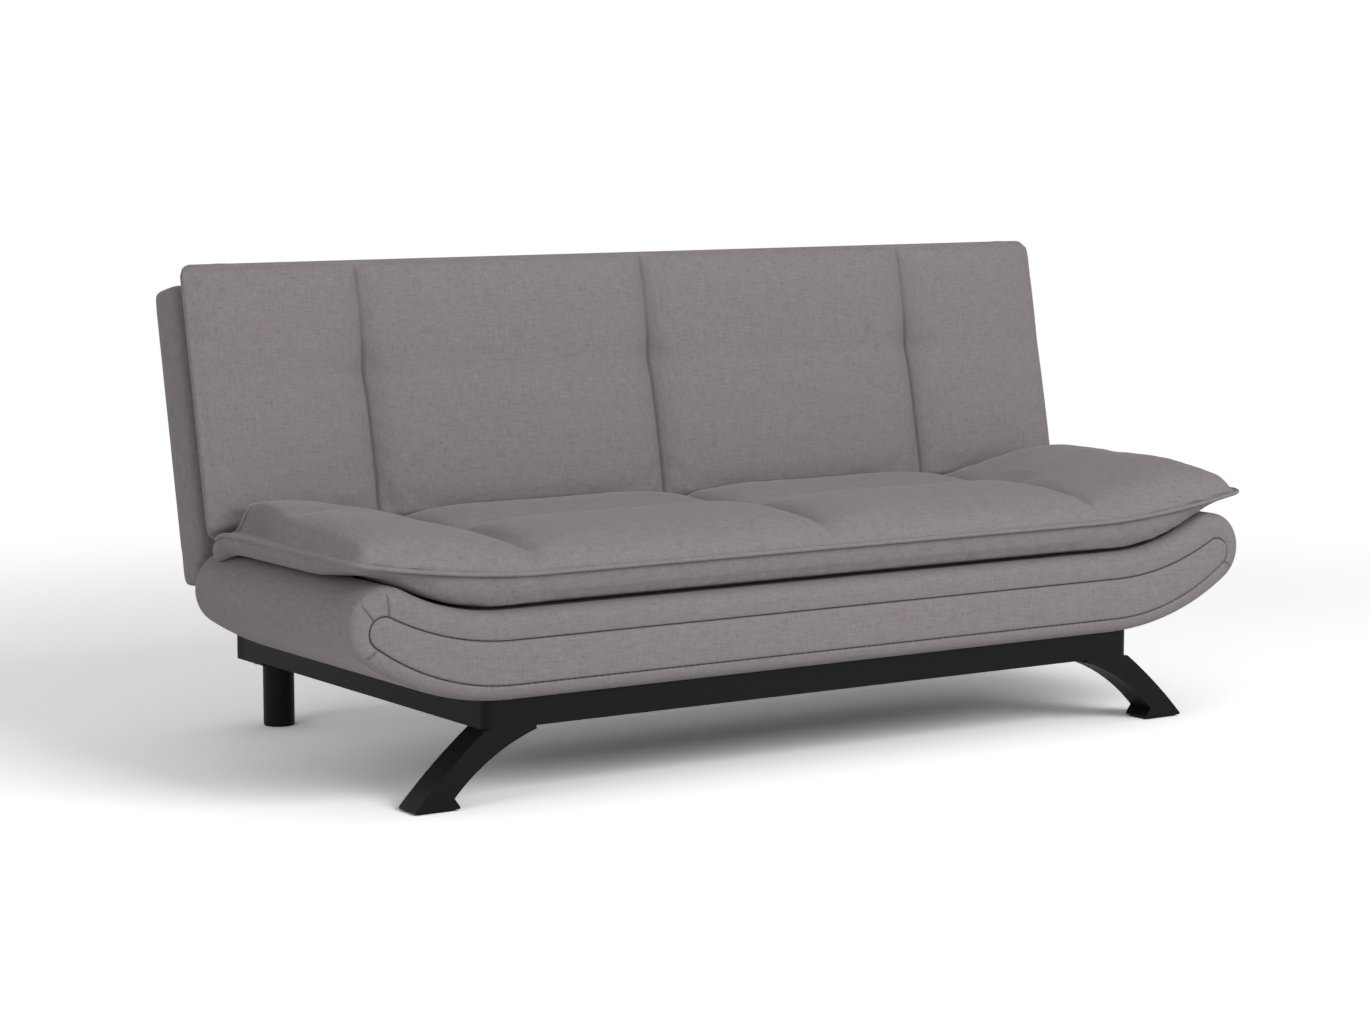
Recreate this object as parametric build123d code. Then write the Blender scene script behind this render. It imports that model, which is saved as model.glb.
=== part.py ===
from build123d import *
import os
from math import atan2, cos, degrees, radians, sin, sqrt, tan

# A folding sofa bed. A steel base frame on four legs carries a boat-shaped upholstered seat.
# The padded back hinges on ratchets behind the seat and folds down level with it as a bed.
# Millimetres: X runs along the sofa, Y to the rear, Z up. The origin is on the floor, under the middle.

# Overall size
width = 1960.0
depth = 980.0

# Steel base frame
leg_height = 132.0
rail_height = 50.0
rail_width = 30.0
rail_wall = 2.0
frame_width = 1436.0
frame_setback = 30.0            # front rail behind the front edge of the seat pad
corner_radius = 18.0
rear_cross_rail_inset = 55.0    # rear cross rail in front of the seat's rear face
front_cross_rail_inset = 270.0  # front cross rail behind the seat's front face
end_cap_plate = 2.0
end_cap_plug = 12.0
plug_clearance = 0.2

# Legs
front_leg_depth = 60.0
front_leg_top = 102.0           # length of the leg's seat under the front rail
front_leg_splay = 136.0         # how far the toe stands outside the frame
front_foot_width = 86.0
hoof_height = 7.0
ankle_height = 22.0
ankle_flare = 11.0
leg_lip = 6.0                   # edge of the leg's seat below the rail
leg_arch = 12.5                 # hollow of the leg's inner edge
leg_swell = 4.0                 # swell of the leg's outer edge
rear_leg_radius = 30.0
rear_leg_wall = 2.5
rear_leg_inset_x = 59.0         # leg centre inside the frame's end
rear_leg_inset_y = 57.0         # leg centre in front of the frame's rear
leg_plate_size = 110.0
leg_plate_thickness = 5.0
glide_thickness = 3.0
glide_margin = 6.0
glide_plug = 12.0

# Boat-shaped seat base
base_setback = 8.0              # base front behind the front edge of the seat pad
base_depth = 596.0
base_height = 155.0
keel_run = 310.0                # upswept length of the underside at each end
saddle_run = 300.0              # upswept length of the top at each end
tip_radius = 70.0
tip_height = 145.0              # centre of the tip above the underside
cover_thickness = 12.0
edge_round = 22.0
soft_gap = 0.3                  # clearance of soft pieces
board_thickness = 18.0
strap_thickness = 2.5
strap_width = 60.0
seat_foam_thickness = 26.0
seat_strap_count = 8
seat_strap_spacing = 150.0
rib_thickness = 20.0
rib_inner = 220.0               # inner pair of ribs from the middle
rib_outer = 600.0               # outer pair of ribs from the middle
rib_drop = 24.0                 # rib tops below the webbing

# Racetrack panel in the front face
panel_bottom_margin = 28.0
panel_top_margin = 50.0
panel_end_margin = 30.0
panel_tip_radius = 28.0
panel_tip_height = 138.0
panel_run = 310.0
panel_thickness = 6.0
panel_seam = 2.0

# Fold of the back
recline = 11.5                  # lean of the back from upright, in degrees
hinge_setback = 23.0            # hinge axis behind the seat base
hinge_rise = 13.0               # hinge axis above the flat top of the seat base
fold_gap = 3.0                  # clearance of each pad from the fold's middle plane

# Pillow-top pads: four columns of two pillows
wing_width = 355.0              # outer columns, from the end to the first seam
row_dip = 9.0                   # hollow between the two rows of the seat
back_row_dip = 4.0              # hollow between the two rows of the back
roll_depth = 42.0
roll_share = 0.72               # height of the front roll, as a share of the pillow
roll_bulge = 0.12               # bulge of the roll, as a share of its chord
end_dip_share = 0.7             # drop of the last pillow at the fold, as a share of the row dip
pad_crown = 18.0
pad_tuck = 26.0                 # underside drawn in behind the seamed edge
seat_edge_rise = 63.0           # seamed edge above the base
seat_top_rise = 107.0           # top of the seams above the base
seat_mid_seam = 320.0           # cross seam behind the front edge
seat_wing_lift = 39.0           # rise of the seamed edge at the ends
seat_wing_crown = 47.0
seat_wing_power = 2.4           # how late the edge rises towards the ends
wing_rise_power = 1.3           # how late a seat wing rises from its seam
wing_fall_power = 0.45          # how late it falls towards its end
seat_side_share = 0.35          # least height of the pad's rear face, as a share of the pad
seat_rear_inset = 4.0           # pad inside the rear of the base
end_half_thickness = 7.0        # half thickness of a pad at its seamed ends
end_corner = 32.0               # pad corners drawn in at the ends
wing_gap = 4.0                  # underside of the pad above the upswept base

# Back: upholstered slab and its pad
slab_width = 1924.0
slab_low = 20.0                 # lower end above the hinge, along the back
slab_length = 504.0
slab_front = 10.7               # front face ahead of the hinge
slab_thickness = 85.0
slab_cover = 8.0
slab_round = 16.0
skirt_width = 150.0             # lower corners of the slab, beside the hinges
skirt_drop = 38.0               # how far they hang below its lower end
skirt_setback = 26.0            # their front behind the slab's front
timber_depth = 40.0
timber_width = 48.0
inner_stile = 310.0
back_strap_count = 8
back_strap_spacing = 225.0
back_pad_width = 1948.0
back_pad_top = 556.0            # upper seamed edge above the hinge, along the back
back_pad_edge = 72.0            # seamed edge ahead of the hinge
back_seam_front = 86.0          # bottom of the sewn channels ahead of the hinge
back_mid_seam = 214.0           # cross seam below the upper edge
back_wing_end = 80.0            # front of the pad at its ends, ahead of the hinge
back_roll_share = 0.9           # height of the top roll, as a share of the pillow
back_top_tuck = 44.0
back_tuck_share = 0.8           # most that the top tucks in, as a share of the edge's height
back_foot = 36.0                # lower end of the pad's rear face above the hinge
back_foot_share = 0.45          # where the lower end turns down to the slab
back_foot_lift = 22.0           # rise of that end over the upswept ends of the seat
back_shoulder = 0.7             # share of an outer column where its rear leaves the slab

# Ratchet hinges
hinge_place = 610.0             # middle of each hinge from the middle of the sofa
ear_radius = 16.0
ear_thickness = 6.0
plate_thickness = 5.0
hinge_side_gap = 0.5
pin_radius = 5.0
pin_head_radius = 8.0
pin_head = 3.0
pin_running_gap = 0.05
clip_thickness = 1.5
seat_plate_width = 60.0
seat_plate_drop = 8.0           # top of the seat plate below the base's flat top
seat_plate_height = 114.0
ear_root = 45.0                 # height of the ear where it leaves the seat plate
back_plate_width = 50.0
back_plate_front = 5.0
back_plate_length = 74.0
ratchet_radius = 18.0
ratchet_depth = 3.0
ratchet_teeth = 20
pawl_reach = 36.0               # pawl pivot behind the hinge axis
pawl_radius = 7.0
pawl_pin_radius = 3.0
pawl_pin_head = 2.0
pawl_gap = 0.6                  # pawl tip off the tooth crests
pawl_tip = 3.0

# Fasteners
bolt_radius = 4.0
bolt_head_radius = 7.0
bolt_head = 5.0
bolt_clearance = 0.3
bolt_bite = 24.0                # thread length in timber
seat_bolt_spacing_x = 36.0
seat_bolt_spacing_z = 50.0
seat_bolt_inset = 16.0          # upper bolts below the top of the rear board
back_bolt_spacing_x = 22.0
back_bolt_spacing_y = 20.0

# Places worked out from the sizes above
half_width = width / 2
front = -depth / 2
rail_top = leg_height + rail_height
frame_half = frame_width / 2
frame_front = front + frame_setback
frame_rear = depth / 2
base_front = front + base_setback
base_rear = base_front + base_depth
base_bottom = rail_top
base_top = base_bottom + base_height
tip_x = half_width - tip_radius
tip_z = base_bottom + tip_height
saddle_start = half_width - saddle_run
board_top = base_top - cover_thickness - seat_foam_thickness - strap_thickness
cross_rail_places = [base_front + front_cross_rail_inset, base_rear - rear_cross_rail_inset]
rib_places = [-rib_outer, -rib_inner, rib_inner, rib_outer]
hinge_y = base_rear + hinge_setback
hinge_z = base_top + hinge_rise
fold_half = radians((90 + recline) / 2)
fold_shift = fold_gap / sin(fold_half)
seam_x = half_width - wing_width
slab_rear = slab_front - slab_thickness
slab_high = slab_low + slab_length
timber_rear = slab_rear + slab_cover + soft_gap
timber_front = timber_rear + timber_depth
ear_out = hinge_place + ear_thickness + hinge_side_gap
back_place = Location((0, hinge_y, hinge_z), (-recline, 0, 0))


def block(x_low, x_high, y_low, y_high, z_low, z_high):
    """Box between two opposite corners."""
    middle = ((x_low + x_high) / 2, (y_low + y_high) / 2, (z_low + z_high) / 2)
    return Pos(*middle) * Box(x_high - x_low, y_high - y_low, z_high - z_low)


def rod(start, end, radius):
    """Round bar from one point to another."""
    line = Vector(*end) - Vector(*start)
    bar = Cylinder(radius, line.length, align=(Align.CENTER, Align.CENTER, Align.MIN))
    return Plane(origin=start, z_dir=line) * bar


def prism_y(face, y_low, y_high):
    """Solid between two Y places, from a face drawn as seen from the front."""
    plane = Plane(origin=(0, y_high, 0), x_dir=(1, 0, 0), z_dir=(0, -1, 0))
    return extrude(plane * face, amount=y_high - y_low)


def prism_x(face, x_low, x_high):
    """Solid between two X places, from a face drawn in Y and Z."""
    plane = Plane(origin=(x_low, 0, 0), x_dir=(0, 1, 0), z_dir=(1, 0, 0))
    return extrude(plane * face, amount=x_high - x_low)


def bolts(places, direction, length):
    """Bolts with their heads seated at the places and their shanks along a direction."""
    way = Vector(*direction)
    group = Part()
    for place in places:
        seat = Vector(*place)
        group += rod(seat, seat + way * length, bolt_radius)
        group += rod(seat - way * bolt_head, seat, bolt_head_radius)
    return group


def bolt_holes(places, direction, length):
    """Clearance holes for bolts at the same places."""
    way = Vector(*direction)
    group = Part()
    for place in places:
        seat = Vector(*place)
        group += rod(seat, seat + way * (length + bolt_clearance), bolt_radius + bolt_clearance)
    return group


def save(name, shape):
    """Write one piece, or one group of like pieces, under its name."""
    shape.label = name
    export_step(shape, f"parts/{name}.step")


def save_pair(name, right):
    """Write a piece of the right-hand end and its mirror image at the left."""
    save(f"{name}_right", right)
    save(f"{name}_left", mirror(right, about=Plane.YZ))


# Steel base frame

def side_rail_plan(inset):
    """Right-hand side rail seen from above, with its round front corner, drawn in at the sides and front."""
    x_low, x_high = frame_half - rail_width + inset, frame_half - inset
    y_low, y_high = frame_front + inset, frame_rear - rail_width
    radius = min(corner_radius, rail_width - rail_wall) - inset
    bend = CenterArc((x_high - radius, y_low + radius), radius, -90, 90)
    corners = [bend @ 1, (x_high, y_high), (x_low, y_high), (x_low, y_low), bend @ 0]
    return make_face([bend] + [Line(a, b) for a, b in zip(corners, corners[1:])])


def straight_rail(x_low, x_high, y_low, y_high):
    """Rectangular tube along X, open at both ends."""
    tube = block(x_low, x_high, y_low, y_high, leg_height, rail_top)
    hollow = block(x_low, x_high, y_low + rail_wall, y_high - rail_wall,
                   leg_height + rail_wall, rail_top - rail_wall)
    return tube - hollow


def leg_bolt_places(side):
    """Bolt heads under a rear leg plate, one below each rail."""
    plate_bottom = leg_height - leg_plate_thickness
    rail_middle = rail_width / 2
    return [
        (side * (frame_half - rail_middle), frame_rear - rear_leg_inset_y, plate_bottom),
        (side * (frame_half - rear_leg_inset_x), frame_rear - rail_middle, plate_bottom),
    ]


def seat_bolt_places():
    """Bolt heads under the cross rails, below the seat's ribs."""
    return [(x, y, leg_height) for y in cross_rail_places for x in rib_places]


def make_frame():
    """Rails, end caps, legs, leg plates and glides."""
    leg_bolts_all = leg_bolt_places(1) + leg_bolt_places(-1)
    leg_bolt_length = leg_plate_thickness + rail_wall + bolt_head
    leg_holes = bolt_holes(leg_bolts_all, (0, 0, 1), leg_bolt_length)
    seat_holes = bolt_holes(seat_bolt_places(), (0, 0, 1), rail_height)

    side = extrude(Pos(0, 0, leg_height) * side_rail_plan(0), amount=rail_height)
    side -= extrude(Pos(0, 0, leg_height + rail_wall) * side_rail_plan(rail_wall),
                    amount=rail_height - 2 * rail_wall)
    save_pair("side_rail", side - leg_holes)

    rail_inside = frame_half - rail_width
    save("front_rail", straight_rail(-rail_inside, rail_inside, frame_front, frame_front + rail_width))

    rear_end = frame_half - end_cap_plate
    rear_rail = straight_rail(-rear_end, rear_end, frame_rear - rail_width, frame_rear)
    save("rear_rail", rear_rail - leg_holes)
    plug_inset = rail_wall + plug_clearance
    cap = block(rear_end, frame_half, frame_rear - rail_width, frame_rear, leg_height, rail_top)
    cap += block(rear_end - end_cap_plug, rear_end, frame_rear - rail_width + plug_inset,
                 frame_rear - plug_inset, leg_height + plug_inset, rail_top - plug_inset)
    save("rail_end_caps", cap + mirror(cap, about=Plane.YZ))

    for name, y in zip(("front", "rear"), cross_rail_places):
        rail = straight_rail(-rail_inside, rail_inside, y - rail_width / 2, y + rail_width / 2)
        save(f"cross_rail_{name}", rail - seat_holes)

    make_front_legs()
    make_rear_legs(leg_holes)
    save("leg_plate_bolts", bolts(leg_bolts_all, (0, 0, 1), leg_bolt_length))


def bowed(start, end, rise):
    """Arc between two points, whose middle stands off to the left of the straight way."""
    run = Vector(*end) - Vector(*start)
    off = Vector(-run.Y, run.X).normalized() * rise
    return ThreePointArc(start, (Vector(*start) + Vector(*end)) * 0.5 + off, end)


def make_front_legs():
    """Sabre legs that sweep outwards from the front rail to a small hoof."""
    toe = frame_half + front_leg_splay
    heel = toe - front_foot_width
    top_in = (frame_half - front_leg_top, leg_height)
    lip = (frame_half - front_leg_top, leg_height - leg_lip)
    top_out = (frame_half, leg_height)
    ankle = (heel + ankle_flare, ankle_height)
    hoof_in = (heel, hoof_height)
    hoof_out = (toe, hoof_height)
    edges = [
        Line(top_in, lip),
        bowed(lip, ankle, leg_arch),
        Line(ankle, hoof_in),
        Line(hoof_in, (heel, glide_thickness)),
        Line((heel, glide_thickness), (toe, glide_thickness)),
        Line((toe, glide_thickness), hoof_out),
        bowed(top_out, hoof_out, leg_swell),
        Line(top_out, top_in),
    ]
    leg_rear = frame_front + front_leg_depth
    save_pair("front_leg", prism_y(make_face(edges), frame_front, leg_rear))
    glide = block(heel + glide_margin, toe - glide_margin, frame_front + glide_margin,
                  leg_rear - glide_margin, 0, glide_thickness)
    save("front_foot_glides", glide + mirror(glide, about=Plane.YZ))


def make_rear_legs(leg_holes):
    """Round tube legs under corner plates, with plugged-in glides."""
    x = frame_half - rear_leg_inset_x
    y = frame_rear - rear_leg_inset_y
    top = leg_height - leg_plate_thickness
    bore = rear_leg_radius - rear_leg_wall
    leg = rod((x, y, glide_thickness), (x, y, top), rear_leg_radius)
    leg -= rod((x, y, glide_thickness), (x, y, top), bore)
    save_pair("rear_leg", leg)
    plate = block(frame_half - leg_plate_size, frame_half, frame_rear - leg_plate_size, frame_rear,
                  top, leg_height)
    save_pair("leg_plate", plate - leg_holes)
    glide = rod((x, y, 0), (x, y, glide_thickness), rear_leg_radius - rear_leg_wall / 2)
    glide += rod((x, y, glide_thickness), (x, y, glide_thickness + glide_plug), bore - plug_clearance)
    save("rear_foot_glides", glide + mirror(glide, about=Plane.YZ))


# Boat-shaped seat base

def boat_outline(bottom, top, keel_flat, saddle_flat, tip, radius):
    """Flat middle, upswept ends and round tips, seen from the front."""
    rise = tip[1] - bottom
    drop = top - tip[1]
    keel_reach = tip[0] - keel_flat
    saddle_reach = tip[0] - saddle_flat
    keel = (keel_reach ** 2 + rise ** 2 - radius ** 2) / (2 * (rise - radius))
    saddle = (saddle_reach ** 2 + drop ** 2 - radius ** 2) / (2 * (radius - drop))
    low = degrees(atan2(rise - keel, keel_reach))
    high = degrees(atan2(drop + saddle, -saddle_reach))
    half = [
        Line((0, bottom), (keel_flat, bottom)),
        CenterArc((keel_flat, bottom + keel), keel, -90, low + 90),
        CenterArc(tip, radius, low, high - low),
        CenterArc((saddle_flat, top + saddle), saddle, high - 180, 90 - high),
        Line((saddle_flat, top), (0, top)),
    ]
    right = make_face(half + [Line((0, top), (0, bottom))])
    return right + mirror(right, about=Plane.YZ)


def base_outline(inset):
    """Outline of the seat base, drawn in all round."""
    return boat_outline(base_bottom + inset, base_top - inset, half_width - keel_run, saddle_start,
                        (tip_x, tip_z), tip_radius - inset)


def panel_outline(inset):
    """Racetrack of the front panel, drawn in all round."""
    radius = panel_tip_radius - inset
    tip = (half_width - panel_end_margin - panel_tip_radius, base_bottom + panel_tip_height)
    run = half_width - panel_run
    return boat_outline(base_bottom + panel_bottom_margin + inset, base_top - panel_top_margin - inset,
                        run, run, tip, radius)


def seat_plate_bolt_places(side):
    """Bolt heads on the hinge plate behind the seat."""
    middle = board_top - seat_bolt_inset - seat_bolt_spacing_z / 2
    y = base_rear + plate_thickness
    return [(side * hinge_place + dx, y, middle + dz)
            for dx in (-seat_bolt_spacing_x / 2, seat_bolt_spacing_x / 2)
            for dz in (-seat_bolt_spacing_z / 2, seat_bolt_spacing_z / 2)]


def make_seat_base():
    """Boards, ribs, webbing, foam and the padded cover with its front panel."""
    hinge_bolts = seat_plate_bolt_places(1) + seat_plate_bolt_places(-1)
    hinge_bolt_length = plate_thickness + cover_thickness + soft_gap + board_thickness
    hinge_holes = bolt_holes(hinge_bolts, (0, -1, 0), hinge_bolt_length)
    seat_bolt_length = rail_height + cover_thickness + soft_gap + bolt_bite
    seat_holes = bolt_holes(seat_bolt_places(), (0, 0, 1), seat_bolt_length)

    shell = prism_y(base_outline(0), base_front, base_rear)
    ends = shell.faces().sort_by(Axis.Y)
    shell = fillet(ends[0].edges() + ends[-1].edges(), edge_round)
    inner_front = base_front + cover_thickness
    inner_rear = base_rear - cover_thickness
    shell -= prism_y(base_outline(cover_thickness), inner_front, inner_rear)
    shell -= prism_y(panel_outline(0), base_front, base_front + panel_thickness)
    save("seat_base_cover", shell - hinge_holes - seat_holes)
    save("front_panel", prism_y(panel_outline(panel_seam), base_front, base_front + panel_thickness))

    inside = base_outline(cover_thickness + soft_gap)
    board_face = inside & Pos(0, board_top - base_height) * Rectangle(width, 2 * base_height)
    board_front = inner_front + soft_gap
    board_rear = inner_rear - soft_gap
    save("seat_front_board", prism_y(board_face, board_front, board_front + board_thickness))
    rear_board = prism_y(board_face, board_rear - board_thickness, board_rear)
    save("seat_rear_board", rear_board - hinge_holes)

    rib_low = base_bottom + cover_thickness + soft_gap
    for number, x in enumerate(rib_places, start=1):
        rib = block(x - rib_thickness / 2, x + rib_thickness / 2, board_front + board_thickness,
                    board_rear - board_thickness, rib_low, board_top - rib_drop)
        save(f"seat_rib_{number}", rib - seat_holes)

    straps = Part()
    first = -(seat_strap_count - 1) / 2 * seat_strap_spacing
    for index in range(seat_strap_count):
        x = first + index * seat_strap_spacing
        straps += block(x - strap_width / 2, x + strap_width / 2, board_front, board_rear,
                        board_top, board_top + strap_thickness)
    save("seat_webbing", straps)

    foam_low = board_top + strap_thickness
    foam_face = inside & Pos(0, foam_low + base_height) * Rectangle(width, 2 * base_height)
    save("seat_base_foam", prism_y(foam_face, board_front, board_rear))
    save("seat_bolts", bolts(seat_bolt_places(), (0, 0, 1), seat_bolt_length))
    save("hinge_seat_bolts", bolts(hinge_bolts, (0, -1, 0), hinge_bolt_length))


# Pillow-top pads

def pillow_section(x, edge, roll, valley, end, under, crest):
    """Section across a pad: seamed edge, roll, two pillow crowns and the flat or tucked underside.

    Points are (along, height) pairs, and crest is the height of both crowns.
    """
    chord = Vector(*roll) - Vector(*edge)
    outward = Vector(-chord.Y, chord.X).normalized() * chord.length * roll_bulge
    if roll[0] < edge[0]:
        outward = outward * -1
    roll_middle = (Vector(*edge) + Vector(*roll)) * 0.5 + outward
    edges = [
        ThreePointArc(edge, roll_middle, roll),
        ThreePointArc(roll, ((roll[0] + valley[0]) / 2, crest), valley),
        ThreePointArc(valley, ((valley[0] + end[0]) / 2, crest), end),
    ]
    corners = [end] + under + [edge]
    edges += [Line(a, b) for a, b in zip(corners, corners[1:])]
    plane = Plane(origin=(x, 0, 0), x_dir=(0, 1, 0), z_dir=(1, 0, 0))
    return plane * make_face(edges)


def bow(share):
    """Rise of a pillow between two seams, as a share of its crown."""
    return 4 * share * (1 - share)


def wing_bow(share):
    """Rise of a seat wing from its seam to its end, highest near the end, as a share of its crown."""
    def rise(place):
        return place ** wing_rise_power * (1 - place) ** wing_fall_power
    return rise(share) / rise(wing_rise_power / (wing_rise_power + wing_fall_power))


def saddle_height(x):
    """Top of the seat base at a place along it."""
    reach = tip_x - saddle_start
    drop = base_top - tip_z
    radius = (reach ** 2 + drop ** 2 - tip_radius ** 2) / (2 * (tip_radius - drop))
    run = max(0.0, x - saddle_start)
    return base_top + radius - sqrt(radius ** 2 - run ** 2)


def seat_section(x, bottom, edge, top, corner):
    """One section of the seat pad from its underside, edge and top heights."""
    thick = min(1.0, (top - edge) / (seat_top_rise - seat_edge_rise))
    end_z = top - end_dip_share * row_dip * thick
    rear_limit = base_rear - seat_rear_inset
    fold_z = hinge_z + (hinge_y - fold_shift - rear_limit) * tan(fold_half)
    low_z = max(fold_z, bottom + seat_side_share * (end_z - bottom))
    end_y = hinge_y - (end_z - hinge_z) / tan(fold_half) - fold_shift
    low_y = hinge_y - (low_z - hinge_z) / tan(fold_half) - fold_shift
    lip = front + corner
    return pillow_section(
        x,
        edge=(lip, edge),
        roll=(lip + roll_depth, edge + roll_share * (top - edge)),
        valley=(front + seat_mid_seam, top - row_dip * thick),
        end=(end_y - corner, end_z),
        under=[(low_y - corner, low_z), (low_y - corner, bottom), (lip + pad_tuck * thick, bottom)],
        crest=top)


def make_seat_pad():
    """Seat pad: two middle columns between seams and two upswept wings."""
    edge = base_top + seat_edge_rise
    seam_top = base_top + seat_top_rise
    flat_bottom = base_top + soft_gap

    def middle(share):
        return seat_section(seam_x * share, flat_bottom, edge, seam_top + pad_crown * bow(share), 0)

    right = loft([middle(share) for share in (0, 0.5, 1)])

    end_edge = edge + seat_wing_lift
    end_top = end_edge + end_half_thickness

    def wing(x, bottom, corner):
        share = (x - seam_x) / wing_width
        top = seam_top + (end_top - seam_top) * share + seat_wing_crown * wing_bow(share)
        return seat_section(x, bottom, edge + seat_wing_lift * share ** seat_wing_power, top, corner)

    shoulder = tip_x + tip_radius / 2
    tip_top = tip_z + tip_radius
    climb = (saddle_start + tip_x) / 2
    sections = [middle(1)]
    for x in (saddle_start, (saddle_start + climb) / 2, climb, (climb + tip_x) / 2):
        sections.append(wing(x, saddle_height(x) + wing_gap, 0))
    sections.append(wing(tip_x, tip_top + wing_gap, 0))
    sections.append(wing(shoulder, tip_top + 2 * wing_gap, end_corner / 6))
    sections.append(wing(half_width, end_edge - end_half_thickness, end_corner))
    right += loft(sections)
    save("seat_pad", right + mirror(right, about=Plane.YZ))


def back_section(x, rear, edge, top, corner, foot_lift=0):
    """One section of the back pad in the back's own frame: heights are ahead of the hinge."""
    thick = (top - edge) / (back_seam_front - back_pad_edge)
    dip = back_row_dip * min(1.0, thick)
    end_v = top - end_dip_share * dip
    end_u = end_v / tan(fold_half) + fold_shift + corner
    foot_u = max(back_foot + foot_lift, back_foot_share * end_u) + corner
    foot_v = rear + back_foot_share * (end_v - rear)
    high = back_pad_top - corner
    tuck = min(back_top_tuck, back_tuck_share * (edge - rear))
    return pillow_section(
        x,
        edge=(high, edge),
        roll=(high - roll_depth, edge + back_roll_share * (top - edge)),
        valley=(back_pad_top - back_mid_seam, top - dip),
        end=(end_u, end_v),
        under=[(foot_u, foot_v), (foot_u, rear), (high - tuck, rear)],
        crest=top)


def make_back_pad():
    """Back pad, laid out lying down and then stood up along the back."""
    rear = slab_front + soft_gap
    half = back_pad_width / 2
    column = half - seam_x

    def middle(share):
        return back_section(seam_x * share, rear, back_pad_edge,
                            back_seam_front + pad_crown * bow(share), 0)

    def wing(share, wing_rear, corner):
        top = back_seam_front + (back_wing_end - back_seam_front) * share + pad_crown * bow(share)
        return back_section(seam_x + column * share, wing_rear, back_pad_edge, top, corner,
                            back_foot_lift * share)

    right = loft([middle(share) for share in (0, 0.5, 1)])
    right += loft([middle(1), wing(back_shoulder / 2, rear, 0), wing(back_shoulder, rear, 0)])
    lifted = (rear + back_pad_edge) / 2
    right += loft([wing(back_shoulder, rear, 0), wing((back_shoulder + 2) / 3, lifted, end_corner / 4),
                   wing(1, back_pad_edge - end_half_thickness, end_corner)])
    pad = right + mirror(right, about=Plane.YZ)
    lying_to_standing = Rot(90, 0, 0)
    save("back_pad", back_place * lying_to_standing * pad)


# Upholstered slab of the back, in the back's own frame: Y is behind the hinge, Z along the back

def back_plate_bolt_places(side):
    """Bolt heads under the hinge plate of the back."""
    x_middle = side * (ear_out + back_plate_width / 2 + ear_thickness)
    y_middle = -(timber_front + timber_rear) / 2
    z = slab_low - plate_thickness
    return [(x_middle + dx, y_middle + dy, z)
            for dx in (-back_bolt_spacing_x / 2, back_bolt_spacing_x / 2)
            for dy in (-back_bolt_spacing_y / 2, back_bolt_spacing_y / 2)]


def make_back_slab():
    """Timber frame, webbing, foam and cover of the back."""
    half = slab_width / 2
    inner_half = half - slab_cover - soft_gap
    low = slab_low + slab_cover + soft_gap
    high = slab_high - slab_cover - soft_gap
    bolt_places = back_plate_bolt_places(1) + back_plate_bolt_places(-1)
    bolt_length = plate_thickness + slab_cover + soft_gap + bolt_bite
    holes = bolt_holes(bolt_places, (0, 0, 1), bolt_length)

    shell = block(-half, half, -slab_front, -slab_rear, slab_low, slab_high)
    shell = fillet(shell.edges(), slab_round)
    skirt = block(half - skirt_width, half, -slab_front + skirt_setback, -slab_rear,
                  slab_low - skirt_drop, slab_low + slab_round)
    skirt = fillet(skirt.edges(), slab_round)
    shell += [skirt, mirror(skirt, about=Plane.YZ)]
    shell -= block(-half + slab_cover, half - slab_cover, -slab_front + slab_cover, -slab_rear - slab_cover,
                   slab_low + slab_cover, slab_high - slab_cover)
    save("back_cover", back_place * (shell - holes))

    def timber(x_low, x_high, z_low, z_high):
        return block(x_low, x_high, -timber_front, -timber_rear, z_low, z_high)

    bottom_rail = timber(-inner_half, inner_half, low, low + timber_width)
    save("back_bottom_rail", back_place * (bottom_rail - holes))
    save("back_top_rail", back_place * timber(-inner_half, inner_half, high - timber_width, high))
    outer_stile = inner_half - timber_width / 2
    for number, x in enumerate((-outer_stile, -inner_stile, inner_stile, outer_stile), start=1):
        stile = timber(x - timber_width / 2, x + timber_width / 2, low + timber_width, high - timber_width)
        save(f"back_stile_{number}", back_place * stile)

    straps = Part()
    strap_front = timber_front + strap_thickness
    first = -(back_strap_count - 1) / 2 * back_strap_spacing
    for index in range(back_strap_count):
        x = first + index * back_strap_spacing
        straps += block(x - strap_width / 2, x + strap_width / 2, -strap_front, -timber_front, low, high)
    save("back_webbing", back_place * straps)
    foam_front = slab_front - slab_cover - soft_gap
    foam = block(-inner_half, inner_half, -foam_front, -strap_front, low, high)
    save("back_foam", back_place * foam)
    save("hinge_back_bolts", back_place * bolts(bolt_places, (0, 0, 1), bolt_length))


# Ratchet hinges

def ratchet_face():
    """Toothed disc about the hinge axis."""
    step = 360 / ratchet_teeth
    points = []
    for tooth in range(ratchet_teeth):
        for radius, angle in ((ratchet_radius, tooth * step), (ratchet_radius - ratchet_depth, tooth * step)):
            points.append((radius * cos(radians(angle)), radius * sin(radians(angle))))
    return make_face(Polyline(*points, close=True))


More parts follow.
